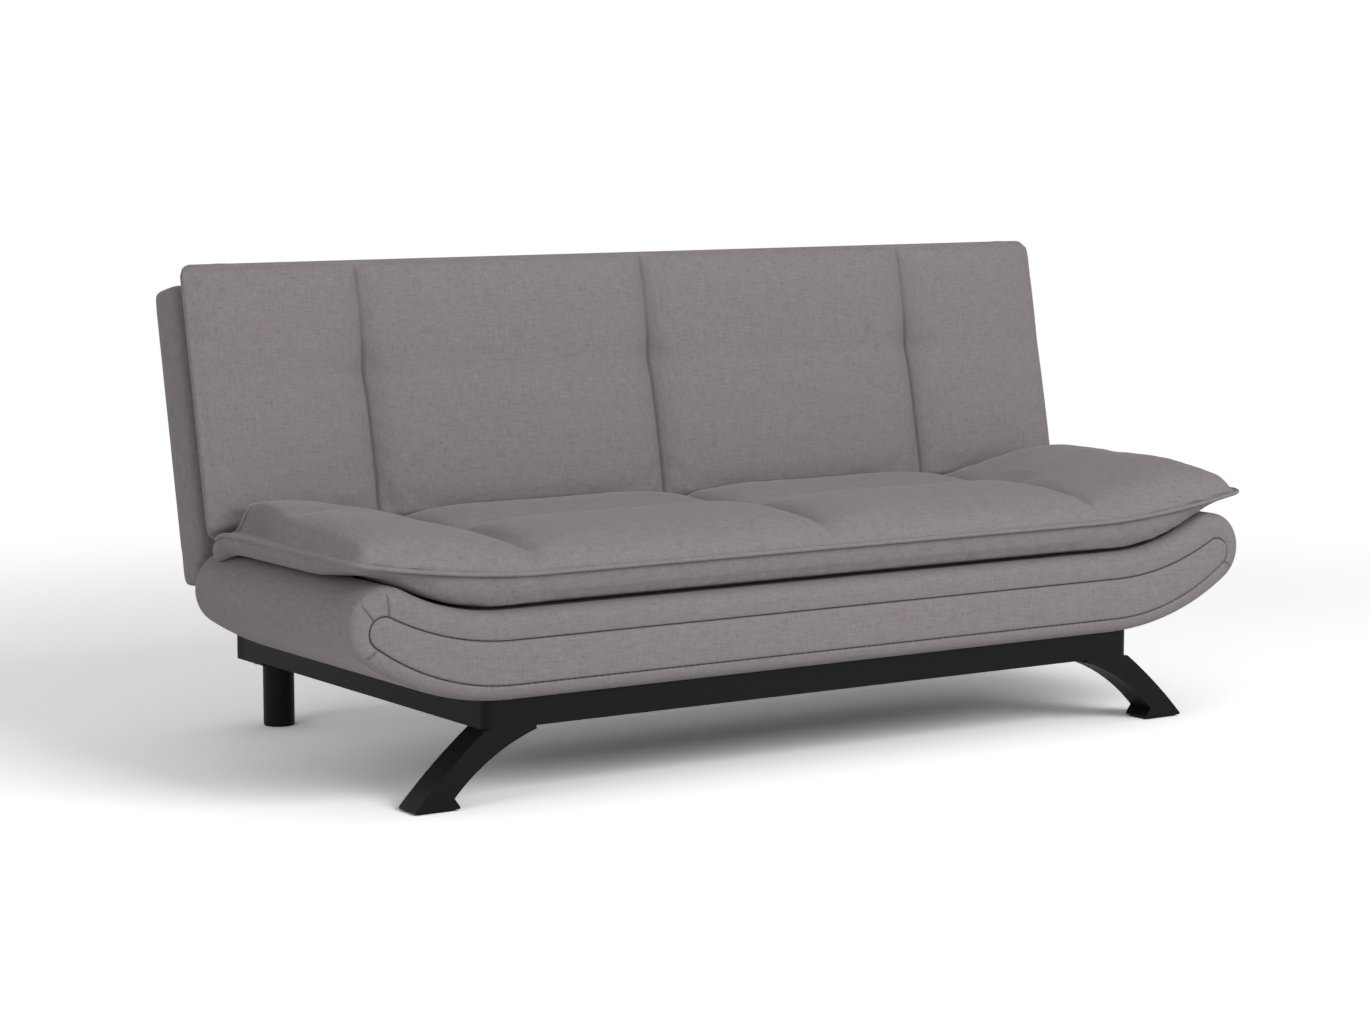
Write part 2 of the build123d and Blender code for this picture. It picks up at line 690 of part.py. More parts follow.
def make_hinges():
    """Seat plates with ratchets, back plates with pawls, and their pins."""
    axis = (hinge_y, hinge_z)
    seat_ear_in = hinge_place - ear_thickness
    arm_outer = ear_out + ear_thickness
    plate_top = base_top - seat_plate_drop
    plate_rear = base_rear + plate_thickness

    plate = block(hinge_place - seat_plate_width / 2, hinge_place + seat_plate_width / 2,
                  base_rear, plate_rear, plate_top - seat_plate_height, plate_top)
    root = Pos((base_rear + plate_rear) / 2, plate_top - ear_root / 2) * Rectangle(plate_thickness, ear_root)
    ear = make_hull((Pos(*axis) * Circle(ear_radius)).edges() + root.edges())
    plate += prism_x(ear, seat_ear_in, hinge_place)
    plate += prism_x(Pos(*axis) * ratchet_face(), hinge_place, hinge_place + ear_thickness)
    shank_end = arm_outer + hinge_side_gap + clip_thickness + plug_clearance
    bore = rod((seat_ear_in, *axis), (shank_end, *axis), pin_radius)
    plate -= bolt_holes(seat_plate_bolt_places(1), (0, -1, 0), plate_thickness)
    save_pair("hinge_seat_plate", plate - bore)

    pin = bore + rod((seat_ear_in - pin_head, *axis), (seat_ear_in, *axis), pin_head_radius)
    save_pair("hinge_pin", pin)
    clip_start = arm_outer + hinge_side_gap
    clip = rod((clip_start, *axis), (clip_start + clip_thickness, *axis), pin_head_radius) - bore
    save("hinge_pin_clips", clip + mirror(clip, about=Plane.YZ))

    pivot = (pawl_reach, 0)
    arm_face = make_hull(Circle(ear_radius).edges() + (Pos(*pivot) * Circle(pawl_radius)).edges())
    arm_face += Pos(back_plate_length / 2 - back_plate_front, (slab_low - plate_thickness) / 2) * Rectangle(
        back_plate_length, slab_low - plate_thickness)
    arm = prism_x(arm_face, ear_out, arm_outer)
    arm -= block(ear_out, arm_outer, -ear_radius, back_plate_length, slab_low, slab_low + ear_radius)
    arm += block(ear_out, ear_out + back_plate_width + 2 * ear_thickness, -back_plate_front,
                 back_plate_length - back_plate_front, slab_low - plate_thickness, slab_low)
    arm -= rod((ear_out, 0, 0), (arm_outer, 0, 0), pin_radius + pin_running_gap)
    arm -= rod((ear_out, *pivot), (arm_outer, *pivot), pawl_pin_radius)
    arm -= bolt_holes(back_plate_bolt_places(1), (0, 0, 1), plate_thickness)
    save_pair("hinge_back_plate", back_place * arm)

    pawl_in = hinge_place + hinge_side_gap
    pawl_out = hinge_place + ear_thickness - hinge_side_gap
    tip = Pos(ratchet_radius + pawl_gap + pawl_tip / 2, 0) * Rectangle(pawl_tip, pawl_tip)
    pawl = prism_x(make_hull((Pos(*pivot) * Circle(pawl_radius)).edges() + tip.edges()), pawl_in, pawl_out)
    pawl -= rod((pawl_in, *pivot), (pawl_out, *pivot), pawl_pin_radius + pin_running_gap)
    save_pair("pawl", back_place * pawl)
    pawl_pin = rod((pawl_in, *pivot), (arm_outer, *pivot), pawl_pin_radius)
    pawl_pin += rod((arm_outer, *pivot), (arm_outer + pawl_pin_head, *pivot), pawl_pin_radius + pawl_pin_head)
    save_pair("pawl_pin", back_place * pawl_pin)


os.makedirs("parts", exist_ok=True)
make_frame()
make_seat_base()
make_seat_pad()
make_back_slab()
make_back_pad()
make_hinges()
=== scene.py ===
"""Dresses the sofa bed.

Padded covers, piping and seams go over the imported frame, every piece gets its finish, and a white
studio is set up round it.
"""

import logging
import math
from dataclasses import dataclass, field
from enum import Enum
from typing import Sequence

import bpy
import numpy as np
from mathutils import Matrix
from mathutils.kdtree import KDTree


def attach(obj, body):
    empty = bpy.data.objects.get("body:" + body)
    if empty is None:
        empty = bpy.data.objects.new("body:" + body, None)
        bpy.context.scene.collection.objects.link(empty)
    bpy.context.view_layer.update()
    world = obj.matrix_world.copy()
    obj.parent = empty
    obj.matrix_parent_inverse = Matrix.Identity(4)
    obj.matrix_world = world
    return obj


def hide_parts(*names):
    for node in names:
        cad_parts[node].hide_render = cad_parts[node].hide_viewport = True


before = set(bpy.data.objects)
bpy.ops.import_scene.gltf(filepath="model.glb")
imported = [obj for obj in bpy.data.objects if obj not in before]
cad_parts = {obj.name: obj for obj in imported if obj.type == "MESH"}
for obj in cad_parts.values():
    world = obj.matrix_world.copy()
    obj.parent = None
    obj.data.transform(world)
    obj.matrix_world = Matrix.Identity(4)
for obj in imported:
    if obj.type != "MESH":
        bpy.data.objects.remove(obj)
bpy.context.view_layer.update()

Array = np.ndarray
Piece = bpy.types.Object
Span = tuple[float, float]
log = logging.getLogger("sofa_bed")
MM = 0.001
TINY = 1e-9


class Body(Enum):
    """Moving bodies of the sofa bed that soft pieces ride on."""

    BASE = "base"
    BACK = "backrest"


class Slot(Enum):
    """Material slots of the record."""

    UPHOLSTERY = "upholstery"
    FRAME = "frame_steel"
    LEG = "cast_leg"
    PLASTIC = "black_plastic"
    TIMBER = "timber"
    WEBBING = "webbing"
    FOAM = "foam"
    HINGE = "hinge_steel"


# Small tools for meshes


def pick(piece: Piece) -> None:
    """Makes a piece the only selected one, and the active one.

    Args:
        piece: the piece to work on.
    """
    bpy.ops.object.select_all(action="DESELECT")
    piece.select_set(True)
    bpy.context.view_layer.objects.active = piece


def rows_of(items: bpy.types.bpy_prop_collection, key: str) -> Array:
    """Reads a vector of each item in one of a mesh's lists.

    Args:
        items: the list, such as the mesh's vertices.
        key: name of the vector.

    Returns:
        Rows of x, y, z.
    """
    flat = np.empty(len(items) * 3, np.float32)
    items.foreach_get(key, flat)
    return flat.reshape(-1, 3).astype(float)


def points_of(piece: Piece) -> Array:
    """Reads the vertices of a piece as rows of x, y, z."""
    return rows_of(piece.data.vertices, "co")


def normals_of(piece: Piece) -> Array:
    """Reads the vertex normals of a piece as rows of x, y, z."""
    return rows_of(piece.data.vertex_normals, "vector")


def set_points(piece: Piece, points: Array) -> None:
    """Moves the vertices of a piece."""
    piece.data.vertices.foreach_set("co", points.astype(np.float32).ravel())
    piece.data.update()


def turned(points: Array, place: Matrix) -> Array:
    """Returns points carried by a placing matrix."""
    matrix = np.array(place)
    return points @ matrix[:3, :3].T + matrix[:3, 3]


def apply_modifier(piece: Piece, kind: str, **settings: object) -> None:
    """Adds a modifier with its settings and applies it.

    Args:
        piece: the piece to change.
        kind: Blender's name for the kind of modifier.
        settings: attributes of the modifier.
    """
    pick(piece)
    modifier = piece.modifiers.new(kind.lower(), kind)
    for key, value in settings.items():
        setattr(modifier, key, value)
    bpy.ops.object.modifier_apply(modifier=modifier.name)


def tidy_shell(piece: Piece) -> None:
    """Merges doubled points and turns the faces outwards.

    Args:
        piece: the piece to mend.
    """
    pick(piece)
    bpy.ops.object.mode_set(mode="EDIT")
    bpy.ops.mesh.select_all(action="SELECT")
    bpy.ops.mesh.remove_doubles(threshold=0.01 * MM)
    bpy.ops.mesh.normals_make_consistent(inside=False)
    bpy.ops.object.mode_set(mode="OBJECT")


def shade(piece: Piece, angle: float = 180.0) -> None:
    """Shades a piece smooth, apart from edges sharper than an angle in degrees."""
    pick(piece)
    bpy.ops.object.shade_smooth_by_angle(angle=math.radians(angle))


def cloth_grid(name: str, rows: Array) -> Piece:
    """Lays a flat grid of cloth over rows of points.

    Args:
        name: name of the new piece.
        rows: points, indexed by row and column.

    Returns:
        The piece, still open at its rims.
    """
    row_count, column_count = rows.shape[:2]
    bpy.ops.object.select_all(action="DESELECT")
    bpy.ops.mesh.primitive_grid_add(
        x_subdivisions=column_count - 1, y_subdivisions=row_count - 1, size=1.0)
    piece = bpy.context.object
    piece.name = name
    flat = points_of(piece)
    column = np.rint((flat[:, 0] + 0.5) * (column_count - 1)).astype(int)
    row = np.rint((flat[:, 1] + 0.5) * (row_count - 1)).astype(int)
    set_points(piece, rows[row, column])
    return piece


def piping(name: str, path: Array, radius: float) -> Piece:
    """Makes a closed welt of covered cord along a path.

    Args:
        name: name of the new piece.
        path: points of the cord's middle, in order and not repeated at the end.
        radius: radius of the covered cord.

    Returns:
        The piece as a mesh.
    """
    curve = bpy.data.curves.new(name, "CURVE")
    curve.dimensions = "3D"
    curve.bevel_depth = radius
    curve.bevel_resolution = 3
    spline = curve.splines.new("POLY")
    spline.points.add(len(path) - 1)
    spline.points.foreach_set("co", np.column_stack([path, np.ones(len(path))]).ravel())
    spline.use_cyclic_u = True
    piece = bpy.data.objects.new(name, curve)
    bpy.context.scene.collection.objects.link(piece)
    pick(piece)
    bpy.ops.object.convert(target="MESH")
    piece = bpy.context.object
    tidy_shell(piece)
    shade(piece)
    return piece


def mark_seams_and_shade(piece: Piece, seam: Array) -> None:
    """Stores how dark each point is painted: stitched lines with painted shade in their grooves,
    and painted shade under the pads, under the welts and in the pleats.
    """
    attribute = piece.data.attributes.new("seam", "FLOAT", "POINT")
    attribute.data.foreach_set("value", seam.astype(np.float32))


def bell(distance: Array, reach: float) -> Array:
    """Returns a smooth bump, 1 at no distance and near 0 past the reach."""
    return np.exp(-np.square(distance / reach))


def ease(value: Array, low: float, high: float) -> Array:
    """Returns a smooth rise from 0 at low to 1 at high."""
    share = np.clip((value - low) / (high - low), 0.0, 1.0)
    return share * share * (3.0 - 2.0 * share)


def distance_to_path(points: Array, path: Array) -> Array:
    """Measures how far points are from a path.

    Args:
        points: the points to measure from.
        path: points along the path.

    Returns:
        Each point's distance to the nearest point of the path.
    """
    tree = KDTree(len(path))
    for index, point in enumerate(path):
        tree.insert(point, index)
    tree.balance()
    return np.array([tree.find(point)[2] for point in points])


@dataclass(frozen=True)
class Swelling:
    """How a stuffed cover swells.

    Args:
        cap: the most that a point may move.
        pressure: the stuffing's push.
        spare_cloth: share by which the cover is cut larger than its seams.
        frames: steps of the simulation.
        stiffness: how hard the cloth is to stretch or press together.
        bending: how hard it is to bend.
        grades: how many strengths of hold are told apart.
    """

    cap: float
    pressure: float = 4.0
    spare_cloth: float = 0.015
    frames: int = 14
    stiffness: float = 15.0
    bending: float = 0.5
    grades: int = 10

    def run(self, piece: Piece, sewn: Array) -> None:
        """Swells a closed cover with a cloth simulation and applies it.

        Args:
            piece: the cover.
            sewn: share, for each point, to which stitches or a neighbour hold it.
        """
        rest = points_of(piece)
        group = piece.vertex_groups.new(name="sewn")
        graded = np.rint(sewn * self.grades).astype(int)
        for grade in range(1, self.grades + 1):
            group.add(np.flatnonzero(graded == grade).tolist(), grade / self.grades, "REPLACE")
        pick(piece)
        cloth = piece.modifiers.new("stuffing", "CLOTH")
        settings = cloth.settings
        settings.tension_stiffness = self.stiffness
        settings.compression_stiffness = self.stiffness
        settings.bending_stiffness = self.bending
        settings.use_pressure = True
        settings.uniform_pressure_force = self.pressure
        settings.shrink_min = -self.spare_cloth
        settings.effector_weights.gravity = 0.0
        settings.vertex_group_mass = group.name
        cloth.collision_settings.use_collision = False
        cloth.point_cache.frame_start = 1
        cloth.point_cache.frame_end = self.frames
        scene = bpy.context.scene
        for number in range(1, self.frames + 1):
            scene.frame_set(number)
        bpy.ops.object.modifier_apply(modifier=cloth.name)
        scene.frame_set(1)
        move = points_of(piece) - rest
        length = np.maximum(np.linalg.norm(move, axis=1, keepdims=True), TINY)
        set_points(piece, rest + move * (self.cap * np.tanh(length / self.cap) / length))
        piece.vertex_groups.remove(piece.vertex_groups["sewn"])


# Finishes


def linear(code: str) -> tuple[float, float, float, float]:
    """Turns an sRGB colour into a linear one.

    Args:
        code: the colour as a hash sign and six hex digits.

    Returns:
        Linear red, green, blue and alpha.
    """
    shares = [int(code[i:i + 2], 16) / 255 for i in (1, 3, 5)]
    red, green, blue = (s / 12.92 if s <= 0.04045 else ((s + 0.055) / 1.055) ** 2.4 for s in shares)
    return red, green, blue, 1.0


def feed(made: bpy.types.Node, inputs: dict[object, object]) -> None:
    """Sets or links the inputs of a node.

    Args:
        made: the node.
        inputs: socket names or numbers with a value, or with the output socket that feeds them.
    """
    for key, value in inputs.items():
        if isinstance(value, bpy.types.NodeSocket):
            made.id_data.links.new(value, made.inputs[key])
        else:
            made.inputs[key].default_value = value


def node(tree: bpy.types.NodeTree, kind: str, inputs: dict[object, object],
         **settings: object) -> bpy.types.Node:
    """Adds a shader node.

    Args:
        tree: the material's node tree.
        kind: Blender's name for the kind of node.
        inputs: what its sockets are set to or fed by.
        settings: attributes of the node.

    Returns:
        The new node.
    """
    made = tree.nodes.new(kind)
    for key, value in settings.items():
        setattr(made, key, value)
    feed(made, inputs)
    return made


def blank(name: str) -> tuple[
        bpy.types.Material, bpy.types.NodeTree, bpy.types.Node, bpy.types.NodeSocket]:
    """Starts a material.

    Args:
        name: name of the real material.

    Returns:
        The material, its node tree, its main shader and the Object coordinates.
    """
    material = bpy.data.materials.new(name)
    material.use_nodes = True
    tree = material.node_tree
    shader = tree.nodes["Principled BSDF"]
    place = node(tree, "ShaderNodeTexCoord", {}).outputs["Object"]
    return material, tree, shader, place


@dataclass(frozen=True)
class SlubWeave:
    """Polyester linen-look weave: matt, with uneven slubs and a faint mauve and green mottle.

    To the eye it is a soft grey with short darker and lighter dashes, a light edge at grazing
    angles and dark lines where it is stitched, which are dark thread with painted shade in the
    seams' grooves. The same mark paints shade under the pads, under the welts and in the pleats.
    The threads are about 0.5 mm, and they are drawn 2 mm apart, because finer ones wouldn't show.
    """

    mauve: str = "#8a8184"
    green: str = "#868382"
    dark_slub: str = "#746d70"
    pale_slub: str = "#9a9496"
    # colour of dark thread and of painted shade: stitched grooves, under the pads, welts and pleats
    stitch_and_shade: str = "#1c1a1b"
    sheen: str = "#e0d3d8"
    thread_pitch: float = 2.0 * MM
    slub_width: float = 3.0 * MM
    slub_length: float = 20.0 * MM
    mottle: float = 26.0 * MM
    warp_share: float = 0.45
    dark_threads: Span = (0.48, 0.34)
    dark_share: float = 0.6
    pale_threads: Span = (0.53, 0.68)
    pale_share: float = 0.5

    def build(self) -> bpy.types.Material:
        """Builds the fabric's nodes.

        Returns:
            The material.
        """
        material, tree, shader, place = blank("slub_weave_polyester")
        along, across = 1 / self.slub_length, 1 / self.slub_width
        weft, warp = (
            node(tree, "ShaderNodeTexNoise", {
                "Vector": node(tree, "ShaderNodeMapping", {
                    "Vector": place, "Scale": scale}).outputs[0],
                "Scale": 1.0, "Detail": 2.0, "Roughness": 0.6}).outputs["Fac"]
            for scale in ((along, across, across), (across, along, along)))
        threads = node(tree, "ShaderNodeMix", {
            "Factor": self.warp_share, "A": weft, "B": warp}, data_type="FLOAT")
        mottle = node(tree, "ShaderNodeTexNoise", {
            "Vector": place, "Scale": 1 / self.mottle, "Detail": 3.0, "Roughness": 0.65})
        ground = node(tree, "ShaderNodeMix", {
            "Factor": node(tree, "ShaderNodeMapRange", {
                "Value": mottle.outputs["Fac"], "From Min": 0.3, "From Max": 0.7}).outputs[0],
            "A": linear(self.mauve), "B": linear(self.green)}, data_type="RGBA")
        flecked = ground.outputs["Result"]
        for slub, (first, full), share in (
                (self.dark_slub, self.dark_threads, self.dark_share),
                (self.pale_slub, self.pale_threads, self.pale_share)):
            flecked = node(tree, "ShaderNodeMix", {
                "Factor": node(tree, "ShaderNodeMapRange", {
                    "Value": threads.outputs["Result"], "From Min": first, "From Max": full,
                    "To Max": share}).outputs[0],
                "A": flecked, "B": linear(slub)}, data_type="RGBA").outputs["Result"]
        # the "seam" mark darkens the cloth to the stitch colour: dark thread with painted groove
        # shade, and painted shade under the pads, under the welts and in the pleats
        seam = node(tree, "ShaderNodeAttribute", {}, attribute_name="seam")
        stitched = node(tree, "ShaderNodeMix", {
            "Factor": seam.outputs["Fac"], "A": flecked, "B": linear(self.stitch_and_shade)}, data_type="RGBA")
        turns = node(tree, "ShaderNodeVectorMath", {
            0: place, "Scale": 2 * math.pi / self.thread_pitch}, operation="SCALE")
        waves = node(tree, "ShaderNodeVectorMath", {0: turns.outputs[0]}, operation="SINE")
        axes = node(tree, "ShaderNodeSeparateXYZ", {0: waves.outputs[0]})
        crossing = node(tree, "ShaderNodeMath", {
            0: axes.outputs["Y"], 1: axes.outputs["Z"]}, operation="ADD")
        checker = node(tree, "ShaderNodeMath", {
            0: axes.outputs["X"], 1: crossing.outputs[0]}, operation="MULTIPLY")
        relief = node(tree, "ShaderNodeMath", {
            0: threads.outputs["Result"], 1: 3.0, 2: checker.outputs[0]}, operation="MULTIPLY_ADD")
        bump = node(tree, "ShaderNodeBump", {
            "Height": relief.outputs[0], "Strength": 0.35, "Distance": 0.3 * MM})
        feed(shader, {
            "Base Color": stitched.outputs["Result"], "Normal": bump.outputs[0], "Roughness": 0.92,
            "Specular IOR Level": 0.1, "Sheen Weight": 0.4, "Sheen Roughness": 0.25,
            "Sheen Tint": linear(self.sheen)})
        return material


@dataclass(frozen=True)
class PowderCoat:
    """Satin black skin: polyester powder, sprayed and baked on metal, or moulded plastic.

    To the eye it is a deep, slightly dusty black with a fine orange peel, or the mould's grain.
    """

    name: str
    colour: str
    dusty: str
    peel: float
    roughness: float
    uneven: float = 0.06
    cloud: float = 71.43 * MM

    def build(self) -> bpy.types.Material:
        """Builds the coating's nodes.

        Returns:
            The material.
        """
        material, tree, shader, place = blank(self.name)
        peel = node(tree, "ShaderNodeTexNoise", {
            "Vector": place, "Scale": 1 / self.peel, "Detail": 2.0, "Roughness": 0.5})
        cloud = node(tree, "ShaderNodeTexNoise", {
            "Vector": place, "Scale": 1 / self.cloud, "Detail": 3.0})
        colour = node(tree, "ShaderNodeMix", {
            "Factor": cloud.outputs["Fac"], "A": linear(self.colour), "B": linear(self.dusty)},
            data_type="RGBA")
        gloss = node(tree, "ShaderNodeMapRange", {
            "Value": peel.outputs["Fac"], "To Min": self.roughness - self.uneven,
            "To Max": self.roughness + self.uneven})
        bump = node(tree, "ShaderNodeBump", {
            "Height": peel.outputs["Fac"], "Strength": 0.25, "Distance": 0.25 * MM})
        feed(shader, {
            "Base Color": colour.outputs["Result"], "Roughness": gloss.outputs[0],
            "Normal": bump.outputs[0], "Specular IOR Level": 0.12})
        return material


@dataclass(frozen=True)
class Pine:
    """Sawn pine of the inner frames: pale, with darker growth lines along the board."""

    pale: str = "#d9b98a"
    dark: str = "#a97f4e"
    ring_width: float = 7.0 * MM
    stretch: float = 12.5

    def build(self) -> bpy.types.Material:
        """Builds the timber's nodes.

        Returns:
            The material.
        """
        material, tree, shader, place = blank("sawn_pine")
        grain = node(tree, "ShaderNodeTexWave", {
            "Vector": node(tree, "ShaderNodeMapping", {
                "Vector": place, "Scale": (1 / self.stretch, 1.0, 1.0)}).outputs[0],
            "Scale": 1 / (self.ring_width * 2 * math.pi), "Distortion": 6.0, "Detail": 3.0},
            bands_direction="Z")
        colour = node(tree, "ShaderNodeMix", {
            "Factor": grain.outputs["Fac"], "A": linear(self.pale), "B": linear(self.dark)},
            data_type="RGBA")
        bump = node(tree, "ShaderNodeBump", {
            "Height": grain.outputs["Fac"], "Strength": 0.3, "Distance": 0.3 * MM})
        feed(shader, {
            "Base Color": colour.outputs["Result"], "Normal": bump.outputs[0], "Roughness": 0.7})
        return material


@dataclass(frozen=True)
class Webbing:
    """Elastic polypropylene webbing: black, ribbed across by its rubber threads."""

    black: str = "#1f1e1d"
    stripe: str = "#5a4636"
    rib: float = 3.0 * MM

    def build(self) -> bpy.types.Material:
        """Builds the strap's nodes.

        Returns:
            The material.
        """
        material, tree, shader, place = blank("elastic_webbing")
        rib = node(tree, "ShaderNodeTexWave", {
            "Vector": place, "Scale": 1 / (self.rib * 2 * math.pi)}, bands_direction="X")
        colour = node(tree, "ShaderNodeMix", {
            "Factor": rib.outputs["Fac"], "A": linear(self.black), "B": linear(self.stripe)},
            data_type="RGBA")
        bump = node(tree, "ShaderNodeBump", {
            "Height": rib.outputs["Fac"], "Strength": 0.5, "Distance": 0.4 * MM})
        feed(shader, {
            "Base Color": colour.outputs["Result"], "Normal": bump.outputs[0], "Roughness": 0.85})
        return material


@dataclass(frozen=True)
class Foam:
    """Cut polyurethane foam: pale cream, matt, with fine open cells.

    The middle of each cell is painted the darker hollow colour, as painted shade in its pit.
    """

    cream: str = "#e9dfc4"
    # painted shade in the open cells' pits
    hollow: str = "#c9bb95"
    cell: float = 2.5 * MM

    def build(self) -> bpy.types.Material:
        """Builds the foam's nodes.

        Returns:
            The material.
        """
        material, tree, shader, place = blank("cut_polyurethane_foam")
        cells = node(tree, "ShaderNodeTexVoronoi", {"Vector": place, "Scale": 1 / self.cell})
        # painted shade: darker cream towards each cell's middle
        colour = node(tree, "ShaderNodeMix", {
            "Factor": cells.outputs["Distance"], "A": linear(self.hollow), "B": linear(self.cream)},
            data_type="RGBA")
        bump = node(tree, "ShaderNodeBump", {
            "Height": cells.outputs["Distance"], "Strength": 0.6, "Distance": 0.8 * MM})
        feed(shader, {
            "Base Color": colour.outputs["Result"], "Normal": bump.outputs[0], "Roughness": 0.95})
        return material


@dataclass(frozen=True)
class ZincPlate:
    """Zinc-plated pressed steel of the hinges: cool grey metal, cloudy and a little rough."""

    bright: str = "#c3c7c9"
    cloudy: str = "#9a9fa2"
    spangle: float = 6.0 * MM
    gloss: Span = (0.3, 0.48)

    def build(self) -> bpy.types.Material:
        """Builds the plated steel's nodes.

        Returns:
            The material.
        """
        material, tree, shader, place = blank("zinc_plated_steel")
        cloud = node(tree, "ShaderNodeTexNoise", {
            "Vector": place, "Scale": 1 / self.spangle, "Detail": 4.0})
        colour = node(tree, "ShaderNodeMix", {
            "Factor": cloud.outputs["Fac"], "A": linear(self.cloudy), "B": linear(self.bright)},
            data_type="RGBA")
        gloss = node(tree, "ShaderNodeMapRange", {
            "Value": cloud.outputs["Fac"], "To Min": self.gloss[0], "To Max": self.gloss[1]})
        feed(shader, {
            "Base Color": colour.outputs["Result"], "Roughness": gloss.outputs[0], "Metallic": 1.0})
        return material


class Finishes:
    """The sofa bed's materials, one for each slot of the record."""

    def __init__(self) -> None:
        """Builds every material once."""
        kinds = {
            Slot.UPHOLSTERY: SlubWeave(),
            Slot.FRAME: PowderCoat("powder_coated_steel", "#09090a", "#0d0d0e", 1.4 * MM, 0.5),
            Slot.LEG: PowderCoat("powder_coated_casting", "#0a0a0b", "#0e0e0f", 1.8 * MM, 0.46),
            Slot.PLASTIC: PowderCoat("moulded_polypropylene", "#09090a", "#0d0d0e", 0.9 * MM, 0.58),
            Slot.TIMBER: Pine(),
            Slot.WEBBING: Webbing(),
            Slot.FOAM: Foam(),
            Slot.HINGE: ZincPlate(),
        }
        self.by_slot: dict[Slot, bpy.types.Material] = {
            slot: kind.build() for slot, kind in kinds.items()}

    def dress_frame(self) -> None:
        """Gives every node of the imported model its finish."""
        slots = {slot.value: slot for slot in Slot}
        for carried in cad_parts.values():
            for material_slot in carried.material_slots:
                material_slot.material = self.by_slot[slots[material_slot.material.name]]

    def dress(self, piece: Piece, slot: Slot, body: Body) -> None:
        """Gives a new piece its finish and the body that it rides on.

        Args:
            piece: the new piece.
            slot: the record's slot that its finish is for.
            body: the body that it moves with.
        """
        piece.data.materials.clear()
        piece.data.materials.append(self.by_slot[slot])
        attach(piece, body.value)


# Seat base


@dataclass(frozen=True)
class BoatOutline:
    """Outline with a flat middle, upswept ends and round tips, seen from the front."""

    bottom: float
    top: float
    keel_flat: float
    saddle_flat: float
    tip_x: float
    tip_z: float
    radius: float

    def half(self, counts: Sequence[int]) -> Array:
        """Lays out the right half, from the middle of the underside to the middle of the top.

        Args:
            counts: steps along the underside, keel arc, tip, saddle arc and top.

        Returns:
            Rows of x and z.
        """
        rise, drop = self.tip_z - self.bottom, self.top - self.tip_z
        keel_run, saddle_run = self.tip_x - self.keel_flat, self.tip_x - self.saddle_flat
        keel = (keel_run ** 2 + rise ** 2 - self.radius ** 2) / (2 * (rise - self.radius))
        saddle = (saddle_run ** 2 + drop ** 2 - self.radius ** 2) / (2 * (self.radius - drop))
        low = math.atan2(rise - keel, keel_run)
        high = math.atan2(drop + saddle, -saddle_run)

        def arc(x: float, z: float, radius: float, start: float, end: float, count: int) -> Array:
            """Returns points on an arc, without its last one."""
            angle = np.linspace(start, end, count, endpoint=False)
            return np.column_stack([x + radius * np.cos(angle), z + radius * np.sin(angle)])

        def flat(start: float, end: float, z: float, count: int, last: bool) -> Array:
            """Returns points on a level line."""
            x = np.linspace(start, end, count + last, endpoint=last)
            return np.column_stack([x, np.full(len(x), z)])

        down = -math.pi / 2
        return np.vstack([
            flat(0.0, self.keel_flat, self.bottom, counts[0], False),
            arc(self.keel_flat, self.bottom + keel, keel, down, low, counts[1]),
            arc(self.tip_x, self.tip_z, self.radius, low, high, counts[2]),
            arc(self.saddle_flat, self.top + saddle, saddle, high - math.pi, down, counts[3]),
            flat(self.saddle_flat, 0.0, self.top, counts[4], True)])

    def loop(self, counts: Sequence[int]) -> Array:
        """Mirrors the half outline into a closed loop.

        Args:
            counts: steps along each run of the half outline.

        Returns:
            Rows of x and z, with the first point again at the end.
        """
        right = self.half(counts)
        left = right[::-1] * np.array([-1.0, 1.0])
        return np.vstack([right, left[1:]])


